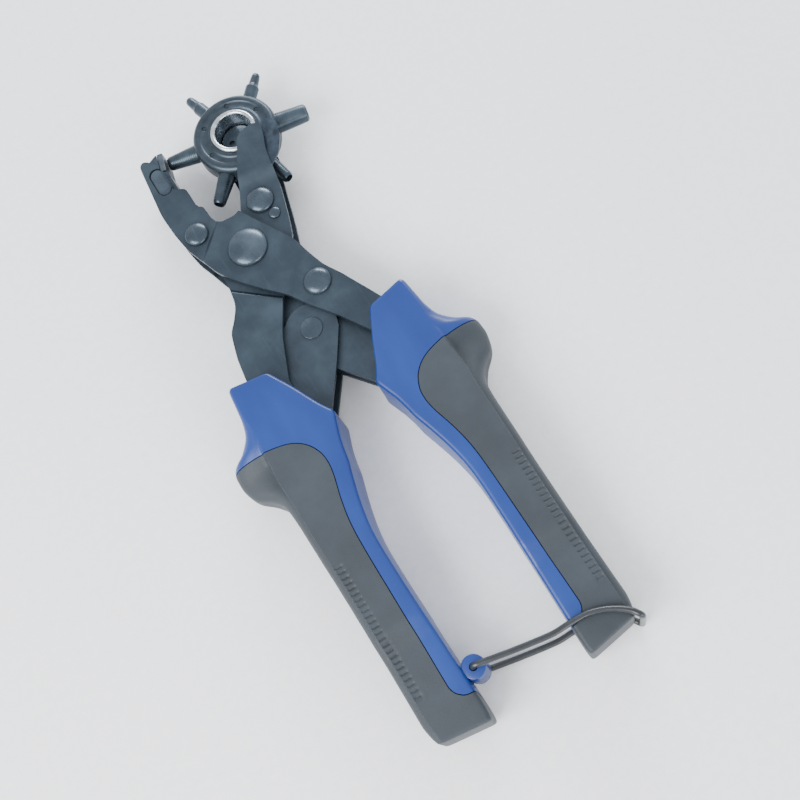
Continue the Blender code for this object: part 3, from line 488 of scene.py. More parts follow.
# %% [markdown]
# ## The stack of plates
# The plier is symmetric front to back: every plate has a twin at the rear. Heights are half
# heights above the middle plane, and follow from the plate thicknesses and the running gaps.
# From the middle out come the right handle's levers, the left handle's levers, and the tails
# of the jaws. At the main pivot the turret jaw runs inside the anvil jaw.

# %% Heights of the plates
JAW_T, LEVER_T, RUNNING = 1.8, 1.6, 0.3
HEAD_SEAT = 0.075
LEVER_R_IN = 1.45
LEVER_L_IN = LEVER_R_IN + LEVER_T + RUNNING
TAIL_IN = LEVER_L_IN + LEVER_T + RUNNING
TURRET_JAW_IN = 4.2
ANVIL_JAW_IN = TURRET_JAW_IN + JAW_T + RUNNING
STRAP_IN = 6.9
REAR_HEAD_IN = 5.4
print("jaw tails lie from %.2f to %.2f mm off the middle" % (TAIL_IN, TAIL_IN + JAW_T))

# %% [markdown]
# ## Anvil jaw
# The anvil jaw runs from the anvil at the head to a link pin inside the right housing. It
# carries the main pivot, so its plates are the outermost ones there, and it steps inwards on
# both sides of the pivot. Its plates are rounded at the corners and waisted at the throat.

# %% Anvil jaw plates
LINK_PIN_R = at("right_link_pin")
LINK_PIN_L = at("left_link_pin")
HANDLE_PIVOT = at("handle_pivot_rivet")
THROAT_RIVET = at("throat_rivet")
TAIL_RIVET = at("tail_rivet")
JAW_RIVET = at("jaw_rivet")
SMALL_RIVET = at("spring_rivet")
STAKE = (-13.9, 43.1)
ANVIL_JAW = (
    (-17.9, 50.8), (-17.5, 53.4), (-16.0, 54.5), (-14.2, 53.6), (-11.6, 49.5), (-11.5, 37.2),
    (-7.5, 35.2), (-7.5, 25.9), (-5.5, 24.7), (-5.5, 19.8), (-4.4, 16.0), (-3.0, 14.5),
    (2.6, 13.9), (4.3, 15.0), (5.1, 12.7), (8.6, 5.7), (12.3, -1.5), (15.1, -7.1),
    (16.9, -14.5), (18.7, -20.8), (22.4, -27.9), (25.2, -34.4), (27.2, -38.9), (31.2, -48.4),
)
ANVIL_JAW_BACK = (
    (19.8, -51.1), (12.4, -38.4), (7.3, -31.1), (4.0, -25.2), (3.0, -24.0), (-3.0, -17.0),
    (-8.7, -9.6), (-13.5, -2.2), (-15.9, 5.6), (-18.3, 12.7), (-19.5, 20.7), (-20.0, 30.5),
    (-19.0, 40.2),
)
TAIL_LOBE = 7.0
MAIN_HOLE, RIVET_HOLE, SMALL_HOLE, PIN_HOLE = 3.65, 2.55, 1.45, 2.65
HEAD_BEND = ((-0.673, 0.739), 13.6, 15.4, TAIL_IN - ANVIL_JAW_IN)
TAIL_BEND = ((0.70, -0.714), 17.3, 21.6, TAIL_IN - ANVIL_JAW_IN)


def anvil_jaw():
    """The right tail end is a round lobe about the link pin; the front has the anvil's slot."""
    before = rounded(ANVIL_JAW, 1.7, 4, closed=False)
    back = rounded(ANVIL_JAW_BACK, 2.6, 4, closed=False)
    outline = before + lobe(LINK_PIN_R, TAIL_LOBE, 24, -206) + back
    holes = [circle((0, 0), MAIN_HOLE, 40), circle(THROAT_RIVET, RIVET_HOLE, 32),
             circle(TAIL_RIVET, RIVET_HOLE, 32), circle(LINK_PIN_R, PIN_HOLE, 32),
             slot_ring(STAKE, (2.75, 6.15))]
    for end, side in (("front", 1), ("rear", -1)):
        name = "anvil_jaw_%s_plate" % end
        plate("stamped_" + name, outline, holes, ANVIL_JAW_IN, JAW_T, plate_steel, "anvil_jaw", name,
              side, (HEAD_BEND, TAIL_BEND))


anvil_jaw()
print("anvil jaw tail turns on", [round(v, 2) for v in LINK_PIN_R])

# %% [markdown]
# ## Turret jaw
# The turret jaw is the mirror idea: from the wheel down to a link pin in the left housing. Its
# front plate narrows to a strap that climbs over the wheel's face. Its rear plate ends in a
# round head that holds the wheel's axle.

# %% Turret jaw plates
TURRET_STRAP = (
    (3.6, 13.0), (4.9, 15.7), (8.8, 23.5), (13.6, 32.5), (17.6, 39.9), (19.4, 41.4),
    (22.6, 42.2), (26.0, 41.9), (27.6, 39.4), (26.1, 34.6), (24.5, 31.0), (23.4, 26.0),
    (22.7, 21.5), (21.5, 16.0), (20.0, 10.4), (18.1, 3.9), (15.6, -3.5),
)
TURRET_REAR_LEFT = ((3.6, 13.0), (4.9, 15.7), (7.6, 24.0), (8.4, 33.0))
TURRET_REAR_RIGHT = ((26.8, 33.0), (23.6, 24.0), (21.5, 16.0), (20.0, 10.4), (18.1, 3.9), (15.6, -3.5))
TURRET_TAIL = ((10.9, -11.0), (4.4, -17.4), (-0.6, -25.8), (-6.2, -35.5), (-12.1, -50.4))
TURRET_TAIL_BACK = (
    (-25.4, -51.0), (-24.2, -40.5), (-23.2, -33.7), (-20.6, -24.2), (-17.7, -21.1),
    (-14.2, -16.1), (-13.2, -10.4), (-12.9, -5.0), (-13.0, 0.0), (-11.6, 5.9), (-7.6, 10.5), (-2.0, 12.6),
)
TURRET_TAIL_BEND = ((-0.68, -0.733), 15.5, 17.0, TAIL_IN - TURRET_JAW_IN)
STRAP_BEND = ((0.33, 0.944), 22.6, 31.0, STRAP_IN - TURRET_JAW_IN)
REAR_BEND = ((0.33, 0.944), 23.6, 27.6, REAR_HEAD_IN - TURRET_JAW_IN)


def turret_jaw():
    tail = rounded(TURRET_TAIL, 2.4, 4, closed=False) + lobe(LINK_PIN_L, TAIL_LOBE, 36, -204)
    tail += rounded(TURRET_TAIL_BACK, 2.4, 4, closed=False)
    holes = [circle((0, 0), 3.8, 40), circle(JAW_RIVET, RIVET_HOLE, 32),
             circle(SMALL_RIVET, SMALL_HOLE, 24), circle(LINK_PIN_L, PIN_HOLE, 32)]
    plate("stamped_turret_jaw_front_plate", rounded(TURRET_STRAP, 2.2, 5, closed=False) + tail, holes,
          TURRET_JAW_IN, JAW_T, plate_steel, "turret_jaw", "turret_jaw_front_plate", 1,
          (STRAP_BEND, TURRET_TAIL_BEND), 0.4)
    head = lobe(HUB, 10.5, 197, -38, 40)
    rear = rounded(TURRET_REAR_LEFT, 2.0, 4, closed=False) + head
    rear += rounded(TURRET_REAR_RIGHT, 2.0, 4, closed=False) + tail
    plate("stamped_turret_jaw_rear_plate", rear, holes + [circle(HUB, 3.15, 32)],
          TURRET_JAW_IN, JAW_T, plate_steel, "turret_jaw", "turret_jaw_rear_plate", -1,
          (REAR_BEND, TURRET_TAIL_BEND))


turret_jaw()
print("turret jaw tail turns on", [round(v, 2) for v in LINK_PIN_L])

# %% [markdown]
# ## Lever plates
# Each handle has two flat lever plates, pinned together at the handle pivot. They reach deep
# into the grips as a tang. The left pair lies outside the right pair, so from the front the
# left lever covers the right one at the pivot. Only the right pair has a nose above the pivot,
# which fills the fork of the two jaws.

# %% Levers
LEVER_OUTER = (
    (9.6, -31.0), (19.5, -39.5), (29.0, -49.0), (34.2, -56.0), (34.9, -63.0), (33.6, -74.0),
    (32.7, -84.0), (33.0, -100.0), (33.0, -148.0), (31.0, -150.0), (28.0, -150.0), (26.2, -148.0),
    (26.0, -100.0), (23.8, -87.0), (20.0, -79.0), (13.2, -68.0), (2.8, -54.0), (-5.0, -42.1),
)
LEVER_HEAD_R = 9.2
LEVER_NOSE = (
    (-6.2, -32.0), (-5.0, -26.4), (-2.2, -22.2), (1.2, -20.4), (4.6, -22.4), (7.0, -26.8),
)


def mirror(points):
    return [(2 * HANDLE_PIVOT[0] - x, y) for x, y in points]


def levers():
    for side_name, inner, pin, hole, flip in (("right", LEVER_R_IN, LINK_PIN_R, 2.8, False),
                                              ("left", LEVER_L_IN, LINK_PIN_L, 3.5, True)):
        edge = rounded(LEVER_OUTER, 3.0, 4, closed=False)
        if flip:
            outline = mirror(lobe(HANDLE_PIVOT, LEVER_HEAD_R, 205, 48, 34) + edge)
        else:
            nose = rounded(LEVER_NOSE, 2.0, 4, closed=False)
            outline = lobe(HANDLE_PIVOT, LEVER_HEAD_R, 205, 165, 9) + nose
            outline += lobe(HANDLE_PIVOT, LEVER_HEAD_R, 62, 48, 5) + edge
        holes = [circle(HANDLE_PIVOT, 3.3 if flip else 3.15, 36), circle(pin, hole, 32)]
        for end, side in (("front", 1), ("rear", -1)):
            name = "%s_lever_%s_plate" % (side_name, end)
            plate("stamped_" + name, outline, holes, inner, LEVER_T, lever_steel,
                  side_name + "_handle", name, side)


levers()
print("levers reach 112 mm down the grips from the handle pivot")

# %% [markdown]
# ## Turned pieces
# Rivets, tubes, the wheel and its eyelet are all round, and a lathe makes them from a profile.
# A profile is a list of radius and height points. It is turned about an upright axis, or about
# a level one for the tubes that point out of the wheel.

# %% A lathe
def turned_piece(name, profile, centre, finish, segments=64, direction=None, closed=False):
    verts, rings = [], []
    for radius, height in profile:
        if radius < 1e-6:
            rings.append([len(verts)])
            verts.append((0.0, 0.0, height))
            continue
        rings.append(list(range(len(verts), len(verts) + segments)))
        verts += [(*p, height) for p in circle((0.0, 0.0), radius, segments)]
    faces = []
    for low, high in list(zip(rings, rings[1:])) + ([(rings[-1], rings[0])] if closed else []):
        for i in range(segments):
            j = (i + 1) % segments
            corners = [low[i % len(low)], low[j % len(low)], high[j % len(high)], high[i % len(high)]]
            face = [v for k, v in enumerate(corners) if v not in corners[:k]]
            if len(face) > 2:
                faces.append(face)
    if direction is not None:
        c, s = math.cos(math.radians(direction)), math.sin(math.radians(direction))
        verts = [(h * c - x * s, h * s + x * c, y) for x, y, h in verts]
    return solid(name, [(x + centre[0], y + centre[1], z) for x, y, z in verts], faces, finish)


def arc(centre, radius, start, end, steps=5):
    """Points of a quarter bend in a profile, as radius and height."""
    return circle(centre, radius, steps + 1, start, end, whole=False)


# %% [markdown]
# ## Rivets
# A rivet head is formed cold by a snap die. It is a low dome that meets the plate with a short
# upright edge, and is never quite a part of a sphere. The main pivot's rear head is flatter,
# because the tool rests on it. The handle pivot is almost flush: it was peened and ground.

# %% Rivets and pins
def domed(radius, base, height, rows=12):
    points = [(radius - 0.12, base), (radius, base + 0.18)]
    for i in range(1, rows):
        turn = math.pi / 2 * i / rows
        points.append((radius * math.cos(turn) ** 0.92, base + 0.18 + (height - 0.18) * math.sin(turn)))
    return points + [(0.0, base + height)]


def rivet(node_name, centre, sizes, plate_top, body, flat_end=None):
    shank, head, height = sizes
    seat = plate_top + HEAD_SEAT
    upper = domed(head, seat, height)
    lower = [(r, -z) for r, z in reversed(upper)]
    if flat_end is not None:
        lower = [(0.0, -flat_end), (head * 0.60, -flat_end), (head * 0.80, -flat_end + 0.35),
                 (head * 0.93, -flat_end + 1.0), (head, -seat - 0.3), (head - 0.12, -seat)]
    profile = lower + [(shank, -seat), (shank, seat)] + upper
    finish_piece(turned_piece("cold_formed_" + node_name, profile, centre, rivet_steel), body, node_name, 42)


def link_pin(node_name, centre, body):
    half = TAIL_IN + JAW_T + 0.3
    profile = [(0.0, -half), (2.1, -half), (2.5, -half + 0.4), (2.5, half - 0.4), (2.1, half), (0.0, half)]
    finish_piece(turned_piece("riveted_" + node_name, profile, centre, rivet_steel, 40), body, node_name, 30)


rivet("main_pivot_rivet", (0.0, 0.0), (3.5, 7.2, 2.7), ANVIL_JAW_IN + JAW_T, "anvil_jaw", GRIP_HALF)
rivet("throat_rivet", THROAT_RIVET, (2.4, 4.4, 2.0), TAIL_IN + JAW_T, "anvil_jaw")
rivet("tail_rivet", TAIL_RIVET, (2.4, 5.0, 2.2), TAIL_IN + JAW_T, "anvil_jaw")
rivet("jaw_rivet", JAW_RIVET, (2.4, 5.1, 2.4), TURRET_JAW_IN + JAW_T, "turret_jaw")
rivet("spring_rivet", SMALL_RIVET, (1.3, 2.2, 1.0), TURRET_JAW_IN + JAW_T, "turret_jaw")
rivet("handle_pivot_rivet", HANDLE_PIVOT, (3.0, 3.9, 0.5), LEVER_L_IN + LEVER_T, "right_handle")
link_pin("right_link_pin", LINK_PIN_R, "anvil_jaw")
link_pin("left_link_pin", LINK_PIN_L, "turret_jaw")
print("rivets and pins made")

# %% [markdown]
# ## Spacers
# Tubes between the plates keep them apart when the rivets are closed. They are hardly seen.
# The solids of the engineering model are good enough, so they keep their shape and only get
# the real finish of the steel.

# %% New finish for the hidden spacers
for spacer in ("main_pivot_spacer", "throat_spacer", "tail_spacer", "jaw_spacer"):
    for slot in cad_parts[spacer].material_slots:
        slot.material = rivet_steel
print("spacers refinished")

# %% [markdown]
# ## The wheel
# The wheel is a steel disc with six sockets for the tubes. Its face is dished between a raised
# rim and a raised seat at the middle, and both edges are rounded on the lathe. Small dimples
# between the tubes stop the wheel at each size. A Boolean cuts sockets and dimples from the
# turned disc, just as a drill would.

# %% Wheel with sockets and dimples
WHEEL_R, WHEEL_HALF, WHEEL_BORE = 16.0, 4.9, 7.7
WORKING_ANGLE = 166.0
DIMPLE_REACH, DIMPLE_FROM = 11.8, WORKING_ANGLE - 210.0
TUBES = (
    ("punch_tube_4_0mm", 0, 1.95, 2.35, 3.4, 15.0),
    ("punch_tube_3_5mm", 60, 1.70, 2.05, 3.2, 15.0),
    ("punch_tube_3_0mm", 120, 1.45, 1.80, 3.1, 15.0),
    ("punch_tube_5_0mm", 180, 2.40, 3.05, 3.8, 15.0),
    ("punch_tube_2_0mm", 240, 0.95, 1.30, 2.5, 21.6),
    ("punch_tube_2_5mm", 300, 1.15, 1.50, 2.5, 21.6),
)


def cut(piece, tool, how="DIFFERENCE"):
    tool.hide_render = True
    tool.display_type = "WIRE"
    mod = piece.modifiers.new(how.lower(), "BOOLEAN")
    mod.operation = how
    mod.solver = "EXACT"
    mod.object = tool


def bake(piece):
    """Applies the modifiers so far and takes the cutters away."""
    tools = [mod.object for mod in piece.modifiers if mod.type == "BOOLEAN"]
    shape = piece.evaluated_get(bpy.context.evaluated_depsgraph_get())
    mesh = bpy.data.meshes.new_from_object(shape)
    piece.modifiers.clear()
    piece.data = mesh
    for tool in tools:
        bpy.data.objects.remove(tool, do_unlink=True)
    return piece


def turret_wheel():
    half = WHEEL_HALF
    profile = [(WHEEL_BORE, -half), (14.0, -half)]
    profile += [(r, -z) for r, z in reversed(arc((WHEEL_R - 2.4, half - 2.4), 2.4, 0, 80, 8))]
    profile += arc((WHEEL_R - 2.0, half - 2.0), 2.0, 0, 90, 9)
    profile += [(13.5, half), (13.15, half - 0.08), (12.9, half - 0.32), (12.5, half - 0.5),
                (10.7, half - 0.5), (10.3, half - 0.34), (10.05, half - 0.08), (9.8, half),
                (WHEEL_BORE, half)]
    wheel = turned_piece("turned_turret_wheel", profile, HUB, wheel_steel, 144, closed=True)
    for name, turn, _, _, collar, _ in TUBES:
        wide, low, high = collar + 0.15, WHEEL_BORE - 1.5, WHEEL_R + 1.5
        bar = [(0.0, low), (wide, low), (wide, high), (0.0, high)]
        cut(wheel, turned_piece("socket_drill_" + name, bar, HUB, wheel_steel, 48, WORKING_ANGLE + turn))
    for number in range(6):
        turn = math.radians(DIMPLE_FROM + 60.0 * number)
        where = HUB[0] + DIMPLE_REACH * math.cos(turn), HUB[1] + DIMPLE_REACH * math.sin(turn)
        drill = [(0.0, half - 1.3), (1.0, half - 0.9), (1.15, half + 1.0), (0.0, half + 1.0)]
        cut(wheel, turned_piece("dimple_drill_%d" % number, drill, where, wheel_steel, 24))
    finish_piece(bake(wheel), "turret", "turret_wheel", 30, 0.18, 2)


turret_wheel()
print("wheel of radius", WHEEL_R, "mm with", len(TUBES), "sockets")

# %% [markdown]
# ## The eyelet and the axle
# The eyelet is a short nickelled tube whose rim is rolled outwards over the wheel's face. That
# rolled lip is the brightest thing on the tool. The axle's head lies deep in it. Its two small
# holes take a pin spanner at assembly.

# %% Eyelet and axle
EYELET_FLOOR = -WHEEL_HALF + 1.8
SPANNER_STEP, SPANNER_HOLE = 2.7, 1.1


def hub_eyelet():
    half = WHEEL_HALF
    top, low = 6.4, half + 0.15
    wall, inner, outer = WHEEL_BORE - 0.15, 6.9, 8.7
    floor = EYELET_FLOOR
    middle = (inner + outer) / 2
    lip = [(outer - 0.25, low), (outer, low + 0.3)]
    for i in range(13):
        turn = math.radians(180.0 * i / 12)
        lip.append((middle + (outer - middle) * math.cos(turn), top - 0.9 + 0.9 * math.sin(turn)))
    profile = [(3.3, -half), (wall, -half), (wall, low)] + lip
    profile += [(inner, floor + 0.5), (inner - 0.3, floor + 0.12), (inner - 0.6, floor), (3.3, floor)]
    piece = turned_piece("rolled_hub_eyelet", profile, HUB, nickel, 128, closed=True)
    finish_piece(piece, "turret", "hub_eyelet", 40)


def hub_axle():
    seat = REAR_HEAD_IN + JAW_T + HEAD_SEAT
    floor = EYELET_FLOOR + RUNNING
    profile = [(0.0, -seat - 1.8), (1.6, -seat - 1.76), (3.0, -seat - 1.55), (4.2, -seat - 0.95),
               (4.7, -seat - 0.4), (4.8, -seat), (3.0, -seat), (3.0, floor), (6.4, floor), (6.4, floor + 1.3),
               (6.2, floor + 1.7), (5.8, floor + 2.0), (3.0, floor + 2.28), (0.0, floor + 2.4)]
    axle = turned_piece("shouldered_hub_axle", profile, HUB, rivet_steel, 72)
    for number, step in enumerate((-SPANNER_STEP, SPANNER_STEP)):
        drill = [(0.0, floor + 0.9), (SPANNER_HOLE, floor + 1.1), (SPANNER_HOLE, floor + 4.0),
                 (0.0, floor + 4.0)]
        cut(axle, turned_piece("spanner_drill_%d" % number, drill, (HUB[0] + step, HUB[1]), rivet_steel, 28))
    finish_piece(bake(axle), "turret_jaw", "hub_axle", 35)


hub_eyelet()
hub_axle()
print("eyelet and axle made")

# %% [markdown]
# ## Punch tubes
# Each tube has a thick collar that fills its socket and a thinner nose ground to a ring-shaped
# edge. The two small tubes have long collars with a chamfer where the nose begins. The bores
# run right through, so that the cut-out slugs drop into the hollow hub and fall out.

# %% Six tubes
TUBE_ROOT, TUBE_REACH = 8.8, 27.3


def punch_tube(name, turn, bore, edge, collar, collar_end):
    profile = [(bore, TUBE_ROOT + 0.2), (bore + 0.2, TUBE_ROOT), (collar - 0.25, TUBE_ROOT)]
    profile.append((collar, TUBE_ROOT + 0.25))
    if collar_end > WHEEL_R + 2:
        profile += [(collar, collar_end - 0.2), (collar - 0.12, collar_end), (edge + 0.75, collar_end + 0.55)]
        profile += [(edge + 0.62, collar_end + 0.75), (edge + 0.5, collar_end + 1.6)]
    else:
        profile += [(collar, collar_end - 0.1), (collar * 0.985, WHEEL_R + 0.9)]
        profile += [(collar * 0.97, WHEEL_R + 1.5)]
    nose = profile[-1]
    for t in (0.35, 0.7):
        profile.append((nose[0] + (edge + 0.28 - nose[0]) * t, nose[1] + (TUBE_REACH - 1.2 - nose[1]) * t))
    profile += [(edge + 0.28, TUBE_REACH - 1.2), (edge + 0.10, TUBE_REACH - 0.45), (bore + 0.10, TUBE_REACH),
                (bore, TUBE_REACH - 0.12)]
    piece = turned_piece("turned_" + name, profile, HUB, tube_steel, 64, WORKING_ANGLE + turn, closed=True)
    finish_piece(piece, "turret", name, 30)


for tube in TUBES:
    punch_tube(*tube)
print("tubes:", ", ".join(t[0] for t in TUBES))

# %% [markdown]
# ## Index spring
# A leaf of thin spring steel is riveted under the strap. It follows the strap up over the
# wheel's face and carries a small nose that drops into a dimple.

# %% Leaf and nose
def index_spring():
    thick = 0.7
    low = TURRET_JAW_IN - RUNNING - thick
    leaf = [(12.8, 9.2), (15.6, 11.0), (16.9, 14.0), (17.6, 19.0), (18.9, 26.0), (20.6, 30.4),
            (23.4, 34.4), (25.9, 39.4), (29.6, 42.2), (32.2, 41.6), (33.0, 38.2), (31.2, 32.6),
            (27.6, 27.2), (22.2, 23.6), (21.4, 20.0), (20.0, 14.0), (17.0, 8.4)]
    outline = rounded(leaf, 1.4, 4, closed=False) + lobe(SMALL_RIVET, 2.5, -10, -190, 16)
    plate("blued_index_spring", outline, [circle(SMALL_RIVET, SMALL_HOLE, 24)], low, thick, blued,
          "turret_jaw", "index_spring", 1, (STRAP_BEND,), 0.12)
    turn = math.radians(DIMPLE_FROM)
    where = HUB[0] + DIMPLE_REACH * math.cos(turn), HUB[1] + DIMPLE_REACH * math.sin(turn)
    inside, tip = STRAP_IN - RUNNING - thick / 2, WHEEL_HALF + 0.3
    profile = [(0.0, tip), (0.45, tip + 0.06), (0.8, tip + 0.25), (1.0, tip + 0.6),
               (1.0, inside), (0.0, inside)]
    finish_piece(turned_piece("pressed_index_nose", profile, where, blued, 28), "turret_jaw", None, 35)


index_spring()
print("index spring made")

# %% [markdown]
# ## The anvil
# A steel block fills the gap between the two jaw plates. It is held by a stake at each side: a
# tongue with round ends, set through a slot in the plate and peened a little below its face.
# The ground steel pad sits on the block square to the working tube.

# %% Anvil block, stakes and pad
WORKING_GAP = 0.4


def from_hub(reach, along):
    c, s = math.cos(math.radians(WORKING_ANGLE)), math.sin(math.radians(WORKING_ANGLE))
    return HUB[0] + reach * c + along * s, HUB[1] + reach * s - along * c


def anvil():
    face = TUBE_REACH + WORKING_GAP
    back = face + 2.2
    half = TAIL_IN - RUNNING
    pad = [from_hub(face, -5.0), from_hub(face, 2.6), from_hub(back, 2.6), from_hub(back, -5.0)]
    block("ground_anvil_pad", rounded(pad, 0.5), -half, half, pad_steel, "anvil_jaw", "anvil_pad", 0.25)
    seat = back + 0.15
    body = [(-17.0, 36.6), (-9.8, 36.6), (-9.8, 46.9), from_hub(seat, -5.15), from_hub(seat, 2.6),
            (-13.4, 54.6), (-16.2, 52.6), (-17.0, 50.4)]
    piece = block("milled_anvil_block", rounded(body, 0.6), -half, half, rivet_steel, None)
    for side in (1, -1):
        top = TAIL_IN + JAW_T - 0.35
        for inset, drop, depth in ((0.0, 0.5, 6.2), (0.35, 0.0, 3.0)):
            ring = slot_ring(STAKE, (2.6 - inset, 6.0 - inset))
            ends = sorted((side * (top - drop), side * (half - depth)))
            cut(piece, block("stake_tongue", ring, ends[0], ends[1], rivet_steel, None), "UNION")
    finish_piece(bake(piece), "anvil_jaw", "anvil_block", 35, 0.22, 2)


anvil()
print("anvil stands %.1f mm from the working tube" % WORKING_GAP)

# %% [markdown]
# ## The grips
# Each grip is two mouldings. A hard blue housing encloses the jaw's tail and runs on as a
# strip along the inner side, and as a core through the grip. A soft dark overmould covers the
# outer side, with a guard for the fingers at its top. Both share one outer form. It is a loft
# through stations that were measured along the grip. A smooth curve through the stations
# gives a ring every millimetre or so, and closer where the ribs are. The top face is flat and
# ends at a crisp step along the outer side. At the guard the part outside that step is a lower,
# rounded lobe, which a finger rests against.

# %% The common outer form
# inner x, inner y, outer x, outer y (x from the handles' centre line), half height,
# width and height of the outer rounding, share of that height in the crisp step at its top
GRIP = (
    (20.4, -45.4, 33.2, -43.0, 10.0, 1.2, 1.4, 0.0),
    (19.7, -46.3, 34.5, -43.9, GRIP_HALF, 1.4, 1.6, 0.0),
    (17.4, -50.6, 35.3, -50.2, GRIP_HALF, 1.6, 2.0, 0.0),
    (15.0, -55.4, 36.1, -55.6, GRIP_HALF, 2.2, 2.8, 0.0),
    (12.9, -60.2, 38.0, -60.2, GRIP_HALF, 4.6, 4.4, 0.0),
    (11.0, -64.4, 42.4, -64.0, GRIP_HALF, 8.6, 6.8, 0.02),
    (9.4, -67.4, 46.4, -66.0, GRIP_HALF, 12.0, 8.4, 0.06),
    (8.2, -69.8, 47.8, -69.2, GRIP_HALF, 13.2, 9.2, 0.14),
    (9.2, -73.2, 47.7, -73.4, GRIP_HALF, 13.0, 9.4, 0.30),
    (10.6, -77.4, 45.8, -78.6, GRIP_HALF, 10.8, 9.0, 0.32),
    (11.7, -82.0, 41.4, -82.6, GRIP_HALF, 6.2, 7.4, 0.30),
    (12.6, -87.0, 38.4, -87.0, GRIP_HALF, 3.4, 5.8, 0.27),
    (14.3, -93.0, 37.5, -93.0, GRIP_HALF, 2.7, 5.0, 0.25),
    (16.3, -101.0, 37.2, -101.0, GRIP_HALF, 2.5, 4.8, 0.24),
    (17.7, -109.5, 37.0, -109.5, GRIP_HALF, 2.5, 4.8, 0.24),
    (18.1, -119.0, 36.7, -119.0, GRIP_HALF, 2.5, 4.8, 0.24),
    (18.0, -130.0, 36.5, -130.0, GRIP_HALF, 2.5, 4.8, 0.24),
    (17.8, -139.0, 36.4, -139.0, GRIP_HALF, 2.5, 4.8, 0.24),
    (17.7, -144.0, 36.4, -144.0, 9.6, 2.5, 4.4, 0.24),
    (17.6, -149.0, 36.4, -149.0, 8.6, 2.5, 4.2, 0.24),
    (17.3, -160.0, 36.4, -160.0, 8.6, 2.5, 4.2, 0.24),
    (17.1, -168.4, 36.4, -167.4, 8.6, 2.5, 4.0, 0.16),
    (17.0, -174.2, 35.8, -171.9, 8.6, 2.2, 3.2, 0.05),
    (17.2, -177.2, 34.9, -174.9, 8.6, 1.8, 2.2, 0.0),
    (17.6, -178.0, 34.3, -175.7, 8.2, 1.6, 1.8, 0.0),
    (18.2, -178.2, 33.6, -176.0, 7.6, 1.4, 1.4, 0.0),
)
RIB_FROM, RIB_TO, RIB_PITCH, RIB_DEPTH, RIB_LENGTH = -113.0, -163.0, 2.0, 0.5, 3.0
INNER_R = 1.5


def between(rows, index, t):
    """Smooth curve through rows of numbers, from one row to the next."""
    a, b, c, d = (rows[min(max(index + k, 0), len(rows) - 1)] for k in (-1, 0, 1, 2))
    out = []
    for p, q, r, s in zip(a, b, c, d):
        tangent_q, tangent_r = (r - p) / 2, (s - q) / 2
        if (q - p) * (r - q) <= 0:
            tangent_q = 0.0
        if (r - q) * (s - r) <= 0:
            tangent_r = 0.0
        out.append((2 * t ** 3 - 3 * t ** 2 + 1) * q + (t ** 3 - 2 * t ** 2 + t) * tangent_q
                   + (3 * t ** 2 - 2 * t ** 3) * r + (t ** 3 - t ** 2) * tangent_r)
    return tuple(out)


def within(value):
    return min(1.0, max(0.0, value))


def grip_section(station):
    """One ring across the grip, from the inner side over the top to the outer side and back."""
    x0, y0, x1, y1, half, wide, tall, step = station
    upper = []
    for i in range(7):
        turn = math.pi / 12 * i
        upper.append((x0 + INNER_R * (1 - math.cos(turn)), half - INNER_R * (1 - math.sin(turn))))
    flat_from, flat_to = x0 + INNER_R, x1 - wide
    plain_to = flat_to - RIB_LENGTH - 0.5
    upper += [(flat_from + (plain_to - flat_from) * k / 4, half) for k in range(1, 5)]
    upper += [(flat_to - RIB_LENGTH * k / 6, half) for k in range(6, -1, -1)]
    for out, share in ((0.03, 0.35), (0.06, 0.8), (0.10, 1.0)):
        upper.append((flat_to + wide * out, half - tall * step * share - 0.02 * out))
    for i in range(1, 13):
        turn = math.pi / 24 * i
        drop = step + (1 - step) * (0.85 * (1 - math.cos(turn)) + 0.15 * math.sin(turn))
        upper.append((flat_to + wide * (0.10 + 0.90 * math.sin(turn)), half - tall * drop))
    ring = upper + [(x, -z) for x, z in reversed(upper)]
    placed = []
    for x, z in ring:
        y = y0 + (y1 - y0) * (x - x0) / (x1 - x0)
        inside = within((x - flat_to + RIB_LENGTH) / 0.5) * within((flat_to - x) / 0.5)
        ends = within((RIB_FROM - y) / 2) * within((y - RIB_TO) / 2)
        wave = 0.5 - 0.5 * math.cos(2 * math.pi * y / RIB_PITCH)
        groove = RIB_DEPTH * inside * ends * wave * wave if z > 0 else 0.0
        placed.append((x, y, z - groove))
    return placed


def grip_rings():
    rings = []
    for index in range(len(GRIP) - 1):
        length = abs(GRIP[index + 1][3] - GRIP[index][3])
        middle = (GRIP[index + 1][3] + GRIP[index][3]) / 2
        spacing = 0.34 if RIB_TO < middle < RIB_FROM else 0.9
        count = max(3, math.ceil(length / spacing))
        rings += [grip_section(between(GRIP, index, k / count)) for k in range(count)]
    return rings + [grip_section(GRIP[-1])]


def tube_faces(rings, count):
    """Faces that join matching rings of points into a closed skin, with a cap at each end."""
    faces = []
    for k in range(rings - 1):
        for i in range(count):
            j = (i + 1) % count
            faces.append([k * count + i, k * count + j, (k + 1) * count + j, (k + 1) * count + i])
    faces.append(list(range(count)))
    faces.append([(rings - 1) * count + i for i in reversed(range(count))])
    return faces


def loft(name, rings, finish, side):
    """A solid through matching rings; side is 1 for the right grip, -1 for the left."""
    verts = [(HANDLE_PIVOT[0] + side * x, y, z) for ring in rings for x, y, z in ring]
    return solid(name, verts, tube_faces(len(rings), len(rings[0])), finish)


rings_of_grip = grip_rings()
print("grip form:", len(rings_of_grip), "rings of", len(rings_of_grip[0]), "points")

# %% [markdown]
# ## Dividing the form between hard and soft
# The line between blue and dark is the shut-off edge of the overmould's tool. The soft piece
# is the part of the form outside that line, less a slightly enlarged core. The hard piece is
# the rest, with the core added and with room taken out for the jaw's tail and the levers. A
# groove of 0.3 mm is left at the line: overmoulds are shut off with such a step.

